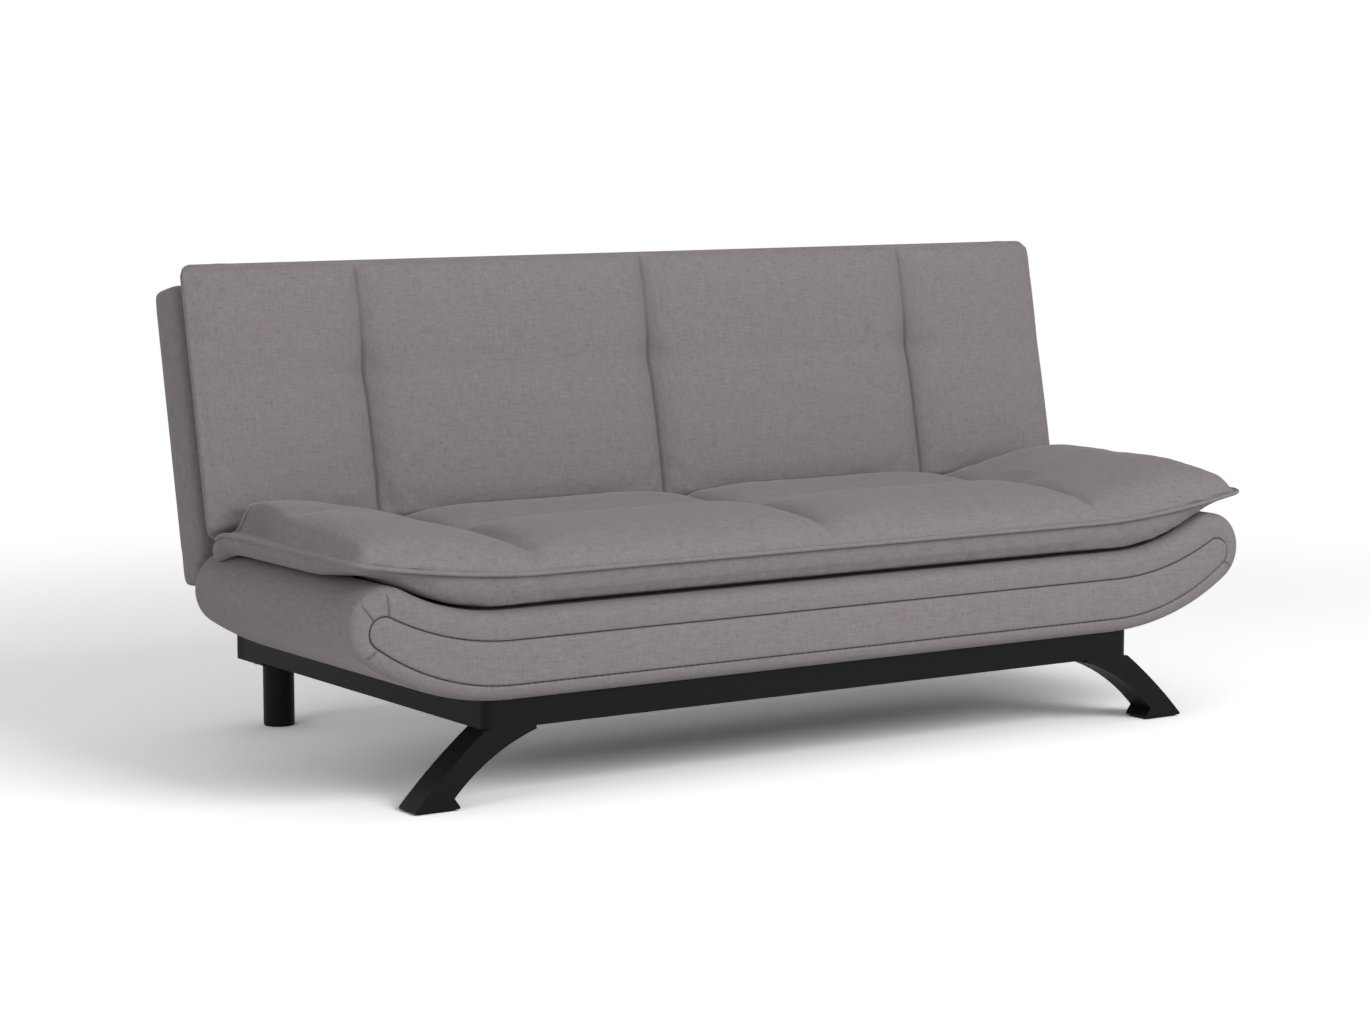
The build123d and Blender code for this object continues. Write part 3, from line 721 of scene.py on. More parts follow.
@dataclass
class SeatBase:
    """Padded boat-shaped seat base with a racetrack panel sewn into its front."""

    finishes: Finishes
    front: float = -0.482
    rear: float = 0.114
    outer: BoatOutline = BoatOutline(
        bottom=0.182, top=0.337, keel_flat=0.670, saddle_flat=0.680,
        tip_x=0.915, tip_z=0.327, radius=0.070)
    racetrack: BoatOutline = BoatOutline(
        bottom=0.210, top=0.287, keel_flat=0.670, saddle_flat=0.670,
        tip_x=0.922, tip_z=0.320, radius=0.028)
    counts: tuple[int, ...] = (50, 26, 30, 26, 50)
    edge_round: float = 24.0 * MM
    tip_round: float = 16.0 * MM
    rear_round: float = 6.0 * MM
    seam_depth: float = 4.0 * MM
    lip_depth: float = 9.0 * MM
    band_puff: float = 2.5 * MM
    panel_puff: float = 3.0 * MM
    panel_rows: int = 18
    panel_back: float = 3.0 * MM
    panel_sharp: float = 80.0
    side_step: float = 14.0 * MM
    stitch_reach: float = 2.2 * MM
    seam_slack: float = 0.4 * MM
    seam_fall: float = 0.9 * MM
    puff_reach: float = 12.0 * MM
    seam_roll: tuple[Span, ...] = ((0.9 * MM, 1.0 * MM), (2.6 * MM, 0.0))
    band_start: float = 3.0 * MM
    band_least: float = 1.0 * MM
    band_steps: tuple[float, ...] = (0.35, 0.7, 1.0)
    puff_width: float = 20.0 * MM
    puff_least: float = 0.2
    edge_angles: tuple[float, ...] = (12, 24, 36, 48, 60, 70, 80, 90)
    rear_angles: tuple[float, ...] = (22, 45, 67, 90)
    round_fade: Span = (0.70, 0.94)
    lip_closing: tuple[float, ...] = (1.0, 0.5)
    rear_closing: tuple[float, ...] = (0.25, 0.5, 0.75, 1.0)
    # painted shade: the base's top under the seat pad is darkened to the stitch colour, from this
    # depth behind the front, on faces turned up, fading out towards the ends
    under_shade_depth: Span = (26.0 * MM, 32.0 * MM)
    under_shade_facing: Span = (0.6, 0.9)
    under_shade_end: Span = (0.82, 0.86)
    pleats: tuple[tuple[float, float, float, float], ...] = (
        (-0.913, 0.350, -0.917, 0.384), (-0.943, 0.343, -0.961, 0.367),
        (-0.929, 0.299, -0.954, 0.279), (0.938, 0.306, 0.962, 0.290))
    pleat_depth: float = 1.4 * MM
    pleat_reach: float = 1.9 * MM
    pleat_fade: Span = (4.0 * MM, 16.0 * MM)
    # painted shade in the pleats' creases, as a share of the stitch colour
    pleat_shade_strength: float = 0.55

    def cover_rows(self) -> Array:
        """Lays out the rings of the cover.

        Returns:
            Points by ring, from the racetrack seam over the front edge to the rear face.
        """
        seam, rim = self.racetrack.loop(self.counts), self.outer.loop(self.counts)
        width = np.linalg.norm(rim - seam, axis=1, keepdims=True)
        half = (len(seam) + 1) // 2
        rows = []

        def ring(outwards: Array, y: float | Array) -> None:
            """Adds a ring at a distance outwards from the seam, and at a depth."""
            flat = seam + (rim - seam) * np.clip(outwards / width, 0.0, 1.0)
            rows.append(np.column_stack([flat[:, 0], np.broadcast_to(y, len(flat)), flat[:, 1]]))

        def close(ring_points: Array, shares: Sequence[float]) -> None:
            """Adds rings that shrink onto the line halfway between the upper and lower points.

            Args:
                ring_points: the ring to close.
                shares: how far each new ring has shrunk.
            """
            opposite = np.vstack([ring_points[:half][::-1], ring_points[half - 1:][::-1][1:]])
            for share in shares:
                rows.append(ring_points + (opposite - ring_points) * (share / 2))

        here = np.full_like(width, self.seam_slack)
        ring(here, self.front + self.lip_depth)
        lip = rows.pop()
        close(lip, self.lip_closing)
        rows.append(lip)
        ring(here, self.front + self.seam_depth)
        for outwards, inwards in self.seam_roll:
            ring(here + outwards, self.front + inwards)
        tip = ease(np.abs(rim[:, 0]), *self.round_fade)
        depth = self.edge_round + (self.tip_round - self.edge_round) * tip
        face = np.maximum(width - self.edge_round - self.band_start, self.band_least)
        fullness = np.clip((width[:, 0] - self.edge_round) / self.puff_width, self.puff_least, 1.0)
        puff = self.band_puff * fullness
        for share in self.band_steps:
            ring(self.band_start + face * share, self.front - puff * math.sin(share * math.pi / 2))
        reach = width - self.band_start - face
        for angle in np.radians(self.edge_angles):
            ring(width - reach * (1 - math.sin(angle)),
                 self.front - puff + (depth + puff) * (1 - math.cos(angle)))
        start, stop = self.front + depth, self.rear - self.rear_round
        steps = int((self.rear - self.front) / self.side_step)
        for share in np.linspace(0.0, 1.0, steps)[1:]:
            ring(width, start + (stop - start) * share)
        for angle in np.radians(self.rear_angles):
            ring(width - self.rear_round * (1 - math.cos(angle)),
                 self.rear - self.rear_round * (1 - math.sin(angle)))
        close(rows[-1], self.rear_closing)
        return np.array(rows)

    def seam_path(self) -> Array:
        """Finds the stitched line round the racetrack panel.

        Returns:
            Points along the line.
        """
        track = self.racetrack.loop(self.counts)
        depth = np.full(len(track), self.front + self.seam_depth)
        return np.column_stack([track[:, 0], depth, track[:, 1]])

    def crease(self, piece: Piece) -> Array:
        """Presses the pleats into the band.

        Args:
            piece: the cover.

        Returns:
            How dark the pleats are at each point.
        """
        points = points_of(piece)
        flat = points[:, [0, 2]]
        pressed = np.zeros(len(points))
        facing = 1.0 - ease(points[:, 1] - self.front, *self.pleat_fade)
        for x_low, z_low, x_high, z_high in self.pleats:
            start, run = np.array([x_low, z_low]), np.array([x_high - x_low, z_high - z_low])
            share = np.clip((flat - start) @ run / (run @ run), 0.0, 1.0)
            gap = np.linalg.norm(flat - start - share[:, None] * run, axis=1)
            pressed = np.maximum(pressed, bell(gap, self.pleat_reach) * facing)
        points[:, 1] += self.pleat_depth * pressed
        set_points(piece, points)
        # the creases get painted shade as well as their pressed dip
        return self.pleat_shade_strength * pressed

    def build_cover(self) -> Piece:
        """Makes the cover round the base.

        Returns:
            The piece.
        """
        piece = cloth_grid("base_cover", self.cover_rows())
        tidy_shell(piece)
        apply_modifier(piece, "SUBSURF", levels=1, render_levels=1)
        pleat_shade = self.crease(piece)
        points, normals = points_of(piece), normals_of(piece)
        # dark thread and painted shade in the racetrack seam's groove
        stitched = bell(distance_to_path(points, self.seam_path()), self.stitch_reach)
        # painted shade under the seat pad, where the base's top lies in the pad's shadow
        painted_under_shade = (ease(points[:, 1] - self.front, *self.under_shade_depth)
                  * ease(normals[:, 2], *self.under_shade_facing)
                  * (1.0 - ease(np.abs(points[:, 0]), *self.under_shade_end)))
        mark_seams_and_shade(piece, np.maximum.reduce([pleat_shade, stitched, painted_under_shade]))
        shade(piece)
        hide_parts("seat_base_cover")
        self.finishes.dress(piece, Slot.UPHOLSTERY, Body.BASE)
        return piece

    def build_panel(self) -> Piece:
        """Makes the racetrack panel as columns from its lower to its upper seam.

        Returns:
            The piece.
        """
        right = self.racetrack.half(self.counts)
        middle = len(right) // 2
        lower, upper = right[:middle + 1], right[::-1][:middle + 1]
        share = 0.5 - 0.5 * np.cos(np.linspace(0.0, math.pi, self.panel_rows + 1))
        columns = lower[None] + (upper - lower)[None] * share[:, None, None]
        height = np.linalg.norm(upper - lower, axis=1)
        inside = np.minimum(share, 1.0 - share)[:, None] * height[None]
        end_gap = np.cumsum(np.linalg.norm(np.diff(lower[::-1], axis=0), axis=1))[::-1]
        inside = np.minimum(inside, np.append(end_gap, 0.0)[None])
        dip = self.seam_depth * np.exp(-inside / self.seam_fall)
        y = self.front + dip - self.panel_puff * (1.0 - np.exp(-inside / self.puff_reach))
        half = np.dstack([columns[:, :, 0], y, columns[:, :, 1]])
        mirrored = half[:, ::-1] * np.array([-1.0, 1.0, 1.0])
        piece = cloth_grid("front_panel_cover", np.concatenate([mirrored, half[:, 1:]], axis=1))
        tidy_shell(piece)
        pick(piece)
        bpy.ops.object.mode_set(mode="EDIT")
        bpy.ops.mesh.select_all(action="SELECT")
        if piece.data.polygons[len(piece.data.polygons) // 2].normal.y > 0:
            bpy.ops.mesh.flip_normals()
        bpy.ops.object.mode_set(mode="OBJECT")
        apply_modifier(piece, "SOLIDIFY", thickness=self.panel_back, offset=-1.0)
        from_seam = distance_to_path(points_of(piece), self.seam_path())
        # dark thread and painted shade in the racetrack seam's groove
        mark_seams_and_shade(piece, bell(from_seam, self.stitch_reach))
        shade(piece, self.panel_sharp)
        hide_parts("front_panel")
        self.finishes.dress(piece, Slot.UPHOLSTERY, Body.BASE)
        return piece


# Pillow-top pads: the hinge, the back's lean in degrees, and the plane of the fold, halfway between
# seat and back, that each pad stays clear of by the gap

HINGE_Y, HINGE_Z = 0.137, 0.350
RECLINE = 11.5
FOLD_HALF = math.radians((90 + RECLINE) / 2)
FOLD_GAP = 3.0 * MM
FOLD_SHIFT = FOLD_GAP / math.sin(FOLD_HALF)
FOLD_FACE: Span = (-20.0 * MM, -4.0 * MM)
BACK_LEAN = Matrix.Rotation(math.radians(-RECLINE), 4, "X")
BACK_PLACE = Matrix.Translation((0.0, HINGE_Y, HINGE_Z)) @ BACK_LEAN
LYING_TO_STANDING = BACK_PLACE @ Matrix.Rotation(math.radians(90), 4, "X")


def bow(share: Array) -> Array:
    """Returns the rise of a pillow between two seams, as a share of its crown."""
    return 4.0 * share * (1.0 - share)


@dataclass
class PillowPad:
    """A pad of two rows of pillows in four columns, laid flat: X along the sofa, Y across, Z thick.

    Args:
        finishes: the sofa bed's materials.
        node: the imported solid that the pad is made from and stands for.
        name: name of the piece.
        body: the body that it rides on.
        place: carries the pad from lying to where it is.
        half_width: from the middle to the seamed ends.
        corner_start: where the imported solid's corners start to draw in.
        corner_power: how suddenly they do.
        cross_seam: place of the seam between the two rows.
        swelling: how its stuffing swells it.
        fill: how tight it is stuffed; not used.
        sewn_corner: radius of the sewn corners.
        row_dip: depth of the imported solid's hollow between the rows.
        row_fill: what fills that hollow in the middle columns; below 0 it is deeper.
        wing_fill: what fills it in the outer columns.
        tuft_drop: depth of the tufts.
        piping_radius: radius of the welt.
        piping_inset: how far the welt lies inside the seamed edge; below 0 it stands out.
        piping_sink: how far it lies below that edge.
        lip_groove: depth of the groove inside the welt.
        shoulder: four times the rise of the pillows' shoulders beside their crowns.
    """

    finishes: Finishes
    node: str
    name: str
    body: Body
    place: Matrix
    half_width: float
    corner_start: float
    corner_power: float
    cross_seam: float
    swelling: Swelling
    fill: float
    sewn_corner: float
    row_dip: float
    row_fill: float
    wing_fill: float
    tuft_drop: float
    piping_radius: float
    piping_inset: float = 0.0
    piping_sink: float = 0.0
    lip_groove: float = 0.0
    lip_width: float = 13.0 * MM
    seam_x: float = 0.625
    end_corner: float = 32.0 * MM
    row_reach: float = 0.1
    row_power: float = 1.6
    end_dip_share: float = 0.7
    fold_sink: float = 4.0 * MM
    voxel: float = 11.0 * MM
    seam_drop: float = 5.0 * MM
    seam_reach: float = 6.0 * MM
    valley_drop: float = 6.0 * MM
    valley_reach: float = 28.0 * MM
    tuft_reach: float = 30.0 * MM
    shoulder: float = 0.0
    settle_reach: float = 25.0 * MM
    edge_steps: int = 197
    edge_crowding: float = 1.15
    end_steps: int = 48
    held_edge: Span = (8.0 * MM, 22.0 * MM)
    held_under: Span = (0.55, 0.8)
    held_top: Span = (0.0, 0.3)
    held_seam: Span = (6.0 * MM, 16.0 * MM)
    held_tuft: Span = (12.0 * MM, 30.0 * MM)
    top_facing: Span = (-0.1, 0.35)
    sewn_inset: Span = (3.0 * MM, 26.0 * MM)
    wing_blend: float = 80.0 * MM
    bridge_reach: float = 70.0 * MM
    # dark thread with painted shade in the channels' grooves
    stitch_and_shade_dark: float = 0.55
    stitch_reach: float = 3.6 * MM
    lip_reach: float = 6.0 * MM
    # painted shadow under the welt, then painted shade over the pad's underside
    shadow_reach: float = 7.0 * MM
    shadow_facing: Span = (0.0, 0.4)
    shadow_fade: float = 0.8
    shadow_end: Span = (0.90, 0.96)
    under_shade_facing: Span = (0.75, 0.95)
    under_shade_inset: Span = (20.0 * MM, 40.0 * MM)
    under_shade_end: Span = (0.74, 0.80)

    @property
    def channels(self) -> tuple[float, float, float]:
        """Places of the sewn channels between the columns."""
        return -self.seam_x, 0.0, self.seam_x

    def packed_corner(self, x: Array) -> Array:
        """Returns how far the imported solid's corners are drawn in at a place along it."""
        share = (np.abs(x) - self.corner_start) / (self.half_width - self.corner_start)
        return self.end_corner * np.clip(share, 0.0, 1.0) ** self.corner_power

    def corner(self, x: Array) -> Array:
        """Returns how far the sewn, round corners are drawn in at a place along the pad."""
        run = np.clip(np.abs(x) - self.half_width + self.sewn_corner, 0.0, self.sewn_corner)
        return self.sewn_corner - np.sqrt(self.sewn_corner ** 2 - run ** 2)

    def fit_edges(self, points: Array) -> Array:
        """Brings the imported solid's corners out to the sewn ones.

        Args:
            points: the solid's points.

        Returns:
            The moved points.
        """
        x, y = points[:, 0], points[:, 1]
        outer, fold = self.outer_edge(x)[:, 0], self.fold_edge(x)[:, 0]
        spare = np.maximum(self.packed_corner(x) - self.corner(x), 0.0)
        middle, half = (outer + fold) / 2, np.abs(fold - outer) / 2
        scale = half / (half - spare)
        moved = points.copy()
        moved[:, 1] = middle + (y - middle) * scale
        return moved

    def wing_share(self, x: Array) -> Array:
        """Returns how far a place is along an outer column, from its seam to the end."""
        return np.clip((np.abs(x) - self.seam_x) / (self.half_width - self.seam_x), 0.0, 1.0)

    def outer_edge(self, x: Array) -> Array:
        """Returns the seamed edge that faces away from the fold, as rows of y and z."""
        raise NotImplementedError

    def fold_edge(self, x: Array) -> Array:
        """Returns the edge along the fold, as rows of y and z."""
        raise NotImplementedError

    def edge_path(self) -> Array:
        """Finds the closed path of the seamed edge.

        Returns:
            Points along the path, closer together at the ends.
        """
        along = np.linspace(-self.half_width, self.half_width, self.edge_steps) / self.half_width
        x = np.sign(along) * self.half_width * (1 - (1 - np.abs(along)) ** self.edge_crowding)
        outer = np.column_stack([x, self.outer_edge(x)])
        fold = np.column_stack([x, self.fold_edge(x)])[::-1]
        share = np.linspace(0.0, 1.0, self.end_steps)[1:-1, None]
        right = outer[-1] + (fold[0] - outer[-1]) * share
        left = fold[-1] + (outer[0] - fold[-1]) * share
        return np.vstack([outer, right, fold, left])

    def held(self, points: Array, normals: Array, path: Array) -> Array:
        """Finds what holds the cover while it swells.

        Args:
            points: points of the cover.
            normals: their normals.
            path: the seamed edge.

        Returns:
            The share to which each point is held by a seam or by what lies under it.
        """
        edge = 1.0 - ease(distance_to_path(points, path), *self.held_edge)
        under = ease(-normals[:, 2], *self.held_under)
        top = ease(normals[:, 2], *self.held_top)
        gap = np.min([np.abs(points[:, 0] - x) for x in self.channels], axis=0)
        seam = (1.0 - ease(gap, *self.held_seam)) * top * self.seam_weight(points)
        row_gap = np.abs(points[:, 1] - self.cross_seam)
        tuft = (1.0 - ease(np.hypot(gap, row_gap), *self.held_tuft)) * top
        return np.maximum.reduce([edge, under, seam, tuft, self.in_fold(points)])

    def in_fold(self, points: Array) -> Array:
        """Returns 1 for points on the face along the fold, and 0 for the others."""
        raise NotImplementedError

    def seam_weight(self, points: Array) -> Array:
        """Returns how deep the sewn channels are along the pad, and how dark with thread and
        painted groove shade.
        """
        raise NotImplementedError

    def finish_shape(self, points: Array) -> Array:
        """Returns the sewn points in their last shape, with the fold's middle plane kept clear."""
        raise NotImplementedError

    def settle_rows(self, piece: Piece) -> None:
        """Moves the row of points next to each channel onto it, so that its line is crisp.

        Args:
            piece: the swollen pad.
        """
        points = points_of(piece)
        for place in self.channels:
            gap = points[:, 0] - place
            offset = np.median(gap[np.abs(gap) < self.voxel / 4])
            points[:, 0] -= offset * bell(gap, self.settle_reach)
        set_points(piece, points)

    def sew(self, piece: Piece) -> None:
        """Draws the channels, tufts and the hollow between the rows into the pad.

        Args:
            piece: the swollen pad.
        """
        self.settle_rows(piece)
        points, normals = points_of(piece), normals_of(piece)
        x, y = points[:, 0], points[:, 1]
        top = ease(normals[:, 2], *self.top_facing)
        from_edge = distance_to_path(points, self.edge_path())
        inside = ease(from_edge, *self.sewn_inset)
        row_gap = np.abs(y - self.cross_seam)
        seam_gap = np.min([np.abs(x - place) for place in self.channels], axis=0)
        wing = ease(np.abs(x), self.seam_x, self.seam_x + self.wing_blend)
        fill = self.row_fill + (self.wing_fill - self.row_fill) * wing
        hollow = np.clip(1.0 - row_gap / self.row_reach, 0.0, 1.0) ** self.row_power
        drop = -fill * hollow * (1.0 - bell(seam_gap, self.bridge_reach))
        from_middle = np.square(1.0 - 2.0 * np.clip(np.abs(x) / self.seam_x, 0.0, 1.0))
        drop -= self.shoulder * from_middle * (1.0 - from_middle)
        seam, weight = np.zeros(len(points)), self.seam_weight(points)
        for place in self.channels:
            gap = np.abs(x - place)
            drop += self.valley_drop * bell(gap, self.valley_reach) * weight
            drop += self.seam_drop * bell(gap, self.seam_reach) * weight
            drop += self.tuft_drop * bell(np.hypot(gap, row_gap), self.tuft_reach)
            # the channel's dark line: dark thread with painted shade in its groove
            seam = np.maximum(seam, self.stitch_and_shade_dark * weight * bell(gap, self.stitch_reach))
        drop = drop * inside + self.lip_groove * bell(from_edge - self.lip_width, self.lip_reach)
        seam = seam * top * inside
        below = -normals[:, 2]
        # painted shadow on the cloth just under the welt, fading towards the ends
        piping_shadow = (bell(from_edge, self.shadow_reach) * ease(below, *self.shadow_facing)
                        * (1.0 - self.shadow_fade * ease(np.abs(x), *self.shadow_end)))
        # painted shade over the pad's underside, inside its edge, fading towards the ends
        painted_under_shade = (ease(below, *self.under_shade_facing) * ease(from_edge, *self.under_shade_inset)
                  * (1.0 - ease(np.abs(x), *self.under_shade_end)))
        points -= normals * (drop * top)[:, None]
        set_points(piece, self.finish_shape(points))
        mark_seams_and_shade(piece, np.maximum.reduce([seam, piping_shadow, painted_under_shade]))

    def build(self) -> Piece:
        """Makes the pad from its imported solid: remeshed, swollen, sewn and dressed.

        Returns:
            The piece.
        """
        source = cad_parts[self.node]
        piece = bpy.data.objects.new(self.name, source.data.copy())
        bpy.context.scene.collection.objects.link(piece)
        set_points(piece, turned(points_of(piece), self.place.inverted()))
        tidy_shell(piece)
        apply_modifier(piece, "REMESH", mode="VOXEL", voxel_size=self.voxel)
        set_points(piece, self.fit_edges(points_of(piece)))
        path = self.edge_path()
        self.swelling.run(piece, self.held(points_of(piece), normals_of(piece), path))
        apply_modifier(piece, "SUBSURF", levels=1, render_levels=1)
        self.sew(piece)
        set_points(piece, turned(points_of(piece), self.place))
        shade(piece)
        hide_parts(self.node)
        self.finishes.dress(piece, Slot.UPHOLSTERY, self.body)
        return piece

    def build_piping(self) -> Piece:
        """Makes the welt round the seamed edge.

        Returns:
            The piece.
        """
        path = self.edge_path()
        low, high = path.min(axis=0)[:2], path.max(axis=0)[:2]
        middle, half = (low + high) / 2, (high - low) / 2
        path[:, :2] = middle + (path[:, :2] - middle) * (1.0 - self.piping_inset / half)
        path[:, 2] -= self.piping_sink
        piece = piping(f"{self.name}_piping", turned(path, self.place), self.piping_radius)
        self.finishes.dress(piece, Slot.UPHOLSTERY, self.body)
        return piece


@dataclass
class SeatPad(PillowPad):
    """Seat pad, with wings that rise towards the ends and run out into thin ears."""

    front: float = -0.490
    edge: float = 0.400
    seam_top: float = 0.444
    crown: float = 18.0 * MM
    wing_lift: float = 39.0 * MM
    wing_power: float = 2.4
    piping_power: float = 1.65
    wing_crown: float = 47.0 * MM
    wing_rise_power: float = 1.3
    wing_fall_power: float = 0.45
    end_half_thickness: float = 7.0 * MM
    front_lift: float = 1.0 * MM
    rear_drop: float = 5.0 * MM
    ear_start: float = 0.948
    ear_end: float = 0.978
    ear_rear_shift: float = 0.034
    ear_thin: float = 0.16
    belly_start: float = 0.87
    belly_end: float = 0.975
    belly_thin: float = 0.45
    belly_depth: float = 0.20
    belly_sag: float = 6.0 * MM
    mouth: float = 5.0 * MM
    droop: float = 26.0 * MM
    droop_reach: float = 40.0 * MM
    fold_bury: float = 18.0 * MM
    bury_end: Span = (0.66, 0.86)
    bury_run: Span = (-0.05, 0.0)
    edge_pull: Span = (4.0 * MM, 44.0 * MM)
    ear_shift_run: Span = (-0.25, 0.0)
    faint_seam: float = 0.1
    seam_fade: Span = (-0.27, -0.12)
    crown_height: Span = (20.0 * MM, 40.0 * MM)
    rear_run: float = 80.0 * MM
    belly_from: float = 20.0 * MM
    mouth_end: Span = (0.58, 0.68)
    mouth_fade: float = 0.8
    mouth_depth: Span = (30.0 * MM, 50.0 * MM)
    sag_start: Span = (0.90, 0.93)
    sag_end: Span = (0.955, 0.975)
    sag_depth: Span = (8.0 * MM, 20.0 * MM)

    def edge_height(self, x: Array) -> Array:
        """Returns the height of the seamed edge at a place along the seat."""
        return self.edge + self.wing_lift * self.wing_share(x) ** self.piping_power

    def fit_edges(self, points: Array) -> Array:
        """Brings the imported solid's corners out and its edge up to the piping.

        Args:
            points: the solid's points.

        Returns:
            The moved points.
        """
        moved = super().fit_edges(points)
        x, z = moved[:, 0], moved[:, 2]
        packed = self.edge + self.wing_lift * self.wing_share(x) ** self.wing_power
        near = 1.0 - ease(np.abs(z - packed), *self.edge_pull)
        moved[:, 2] += near * (self.edge_height(x) - packed)
        return moved

    def wing_bow(self, share: Array) -> Array:
        """Shapes the rise of a wing, which is highest near its end.

        Args:
            share: how far along the wing each place is.

        Returns:
            The rise there, as a share of the wing's crown.
        """
        def rise(place: Array | float) -> Array | float:
            """Returns the rise before it is brought to 1 at its peak."""
            return place ** self.wing_rise_power * (1.0 - place) ** self.wing_fall_power

        peak = self.wing_rise_power / (self.wing_rise_power + self.wing_fall_power)
        return rise(share) / rise(peak)

    def ear(self, x: Array, y: Array) -> Array:
        """Returns the share of its height above the seam that the pad keeps towards its ends."""
        out = np.abs(x) + self.ear_rear_shift * ease(y, *self.ear_shift_run)
        return 1.0 - (1.0 - self.ear_thin) * ease(out, self.ear_start, self.ear_end)

    def drooped(self, points: Array) -> Array:
        """Finds how far the rear corners hang below the seam.

        Args:
            points: points of the pad.

        Returns:
            The drop at each point.
        """
        corner_y = self.fold_y(self.edge + self.wing_lift)
        gap = np.hypot(np.abs(points[:, 0]) - self.half_width, points[:, 1] - corner_y)
        return self.droop * bell(gap, self.droop_reach)

    def fold_y(self, height: Array | float) -> Array | float:
        """Returns how far back the pad may reach at a height."""
        return HINGE_Y - (height - HINGE_Z) / math.tan(FOLD_HALF) - FOLD_SHIFT

    def outer_edge(self, x: Array) -> Array:
        """Returns the front edge, as rows of y and z."""
        return np.column_stack([self.front + self.corner(x), self.edge_height(x)])

    def fold_edge(self, x: Array) -> Array:
        """Finds the rear edge.

        Args:
            x: places along the seat.

        Returns:
            Rows of y and z.
        """
        share = self.wing_share(x)
        inner = np.clip(np.abs(x) / self.seam_x, 0.0, 1.0)
        edge = self.edge_height(x)
        end_top = self.edge + self.wing_lift + self.end_half_thickness
        top = (self.seam_top + self.crown * bow(inner) + (end_top - self.seam_top) * share
               + self.wing_crown * self.wing_bow(share))
        thick = np.minimum(1.0, (top - edge) / (self.seam_top - self.edge))
        height = top - self.end_dip_share * self.row_dip * thick
        y = self.fold_y(height) - self.fold_sink - self.corner(x)
        return np.column_stack([y, edge + (height - edge) * self.ear(x, y)])

    def edge_path(self) -> Array:
        """Finds the closed path of the seamed edge: its rear corners droop, and the fold hides it.

        Returns:
            Points along the path.
        """
        path = super().edge_path()
        hidden = (1.0 - ease(np.abs(path[:, 0]), *self.bury_end)) * ease(path[:, 1], *self.bury_run)
        path[:, 2] -= self.drooped(path) + self.fold_bury * hidden
        return path

    def in_fold(self, points: Array) -> Array:
        """Returns 1 for points on the rear face, and 0 for the others."""
        return ease(points[:, 1] - self.fold_edge(points[:, 0])[:, 0], *FOLD_FACE)

    def seam_weight(self, points: Array) -> Array:
        """Returns how strong the sewn channels are: they fade out in front of the tufts."""
        strong = ease(points[:, 1] - self.cross_seam, *self.seam_fade)
        return self.faint_seam + (1.0 - self.faint_seam) * strong

    def finish_shape(self, points: Array) -> Array:
        """Makes the front pillows fuller and the ears thin, and keeps the fold clear.

        Args:
            points: points of the sewn pad.

        Returns:
            The moved points.
        """
        x, y, z = points.T
        height = self.edge_height(x)
        row = bow(np.clip((y - self.front) / (self.cross_seam - self.front), 0.0, 1.0))
        column = np.clip(1.0 - self.wing_share(x) * 2.0, 0.0, 1.0)
        on_top = column * ease(z - height, *self.crown_height)
        behind = ease(y, self.cross_seam, self.cross_seam + self.rear_run)
        raised = z + on_top * (self.front_lift * row - self.rear_drop * behind)
        at_front = 1.0 - ease(y - self.front, self.belly_from, self.belly_depth)
        at_end = ease(np.abs(x), self.belly_start, self.belly_end)
        belly = 1.0 - (1.0 - self.belly_thin) * at_front * at_end
        z = height + (raised - height) * np.where(raised > height, self.ear(x, y), belly)
        mouth = self.mouth * (1.0 - self.mouth_fade * ease(np.abs(x), *self.mouth_end)) * at_front
        sag = (self.belly_sag * (1.0 - at_front) * ease(np.abs(x), *self.sag_start)
               * (1.0 - ease(np.abs(x), *self.sag_end)))
        below = height - z
        z = z + mouth * ease(below, *self.mouth_depth) - sag * ease(below, *self.sag_depth)
        z = z - self.drooped(points)
        return np.column_stack([x, np.minimum(y, self.fold_y(z)), z])


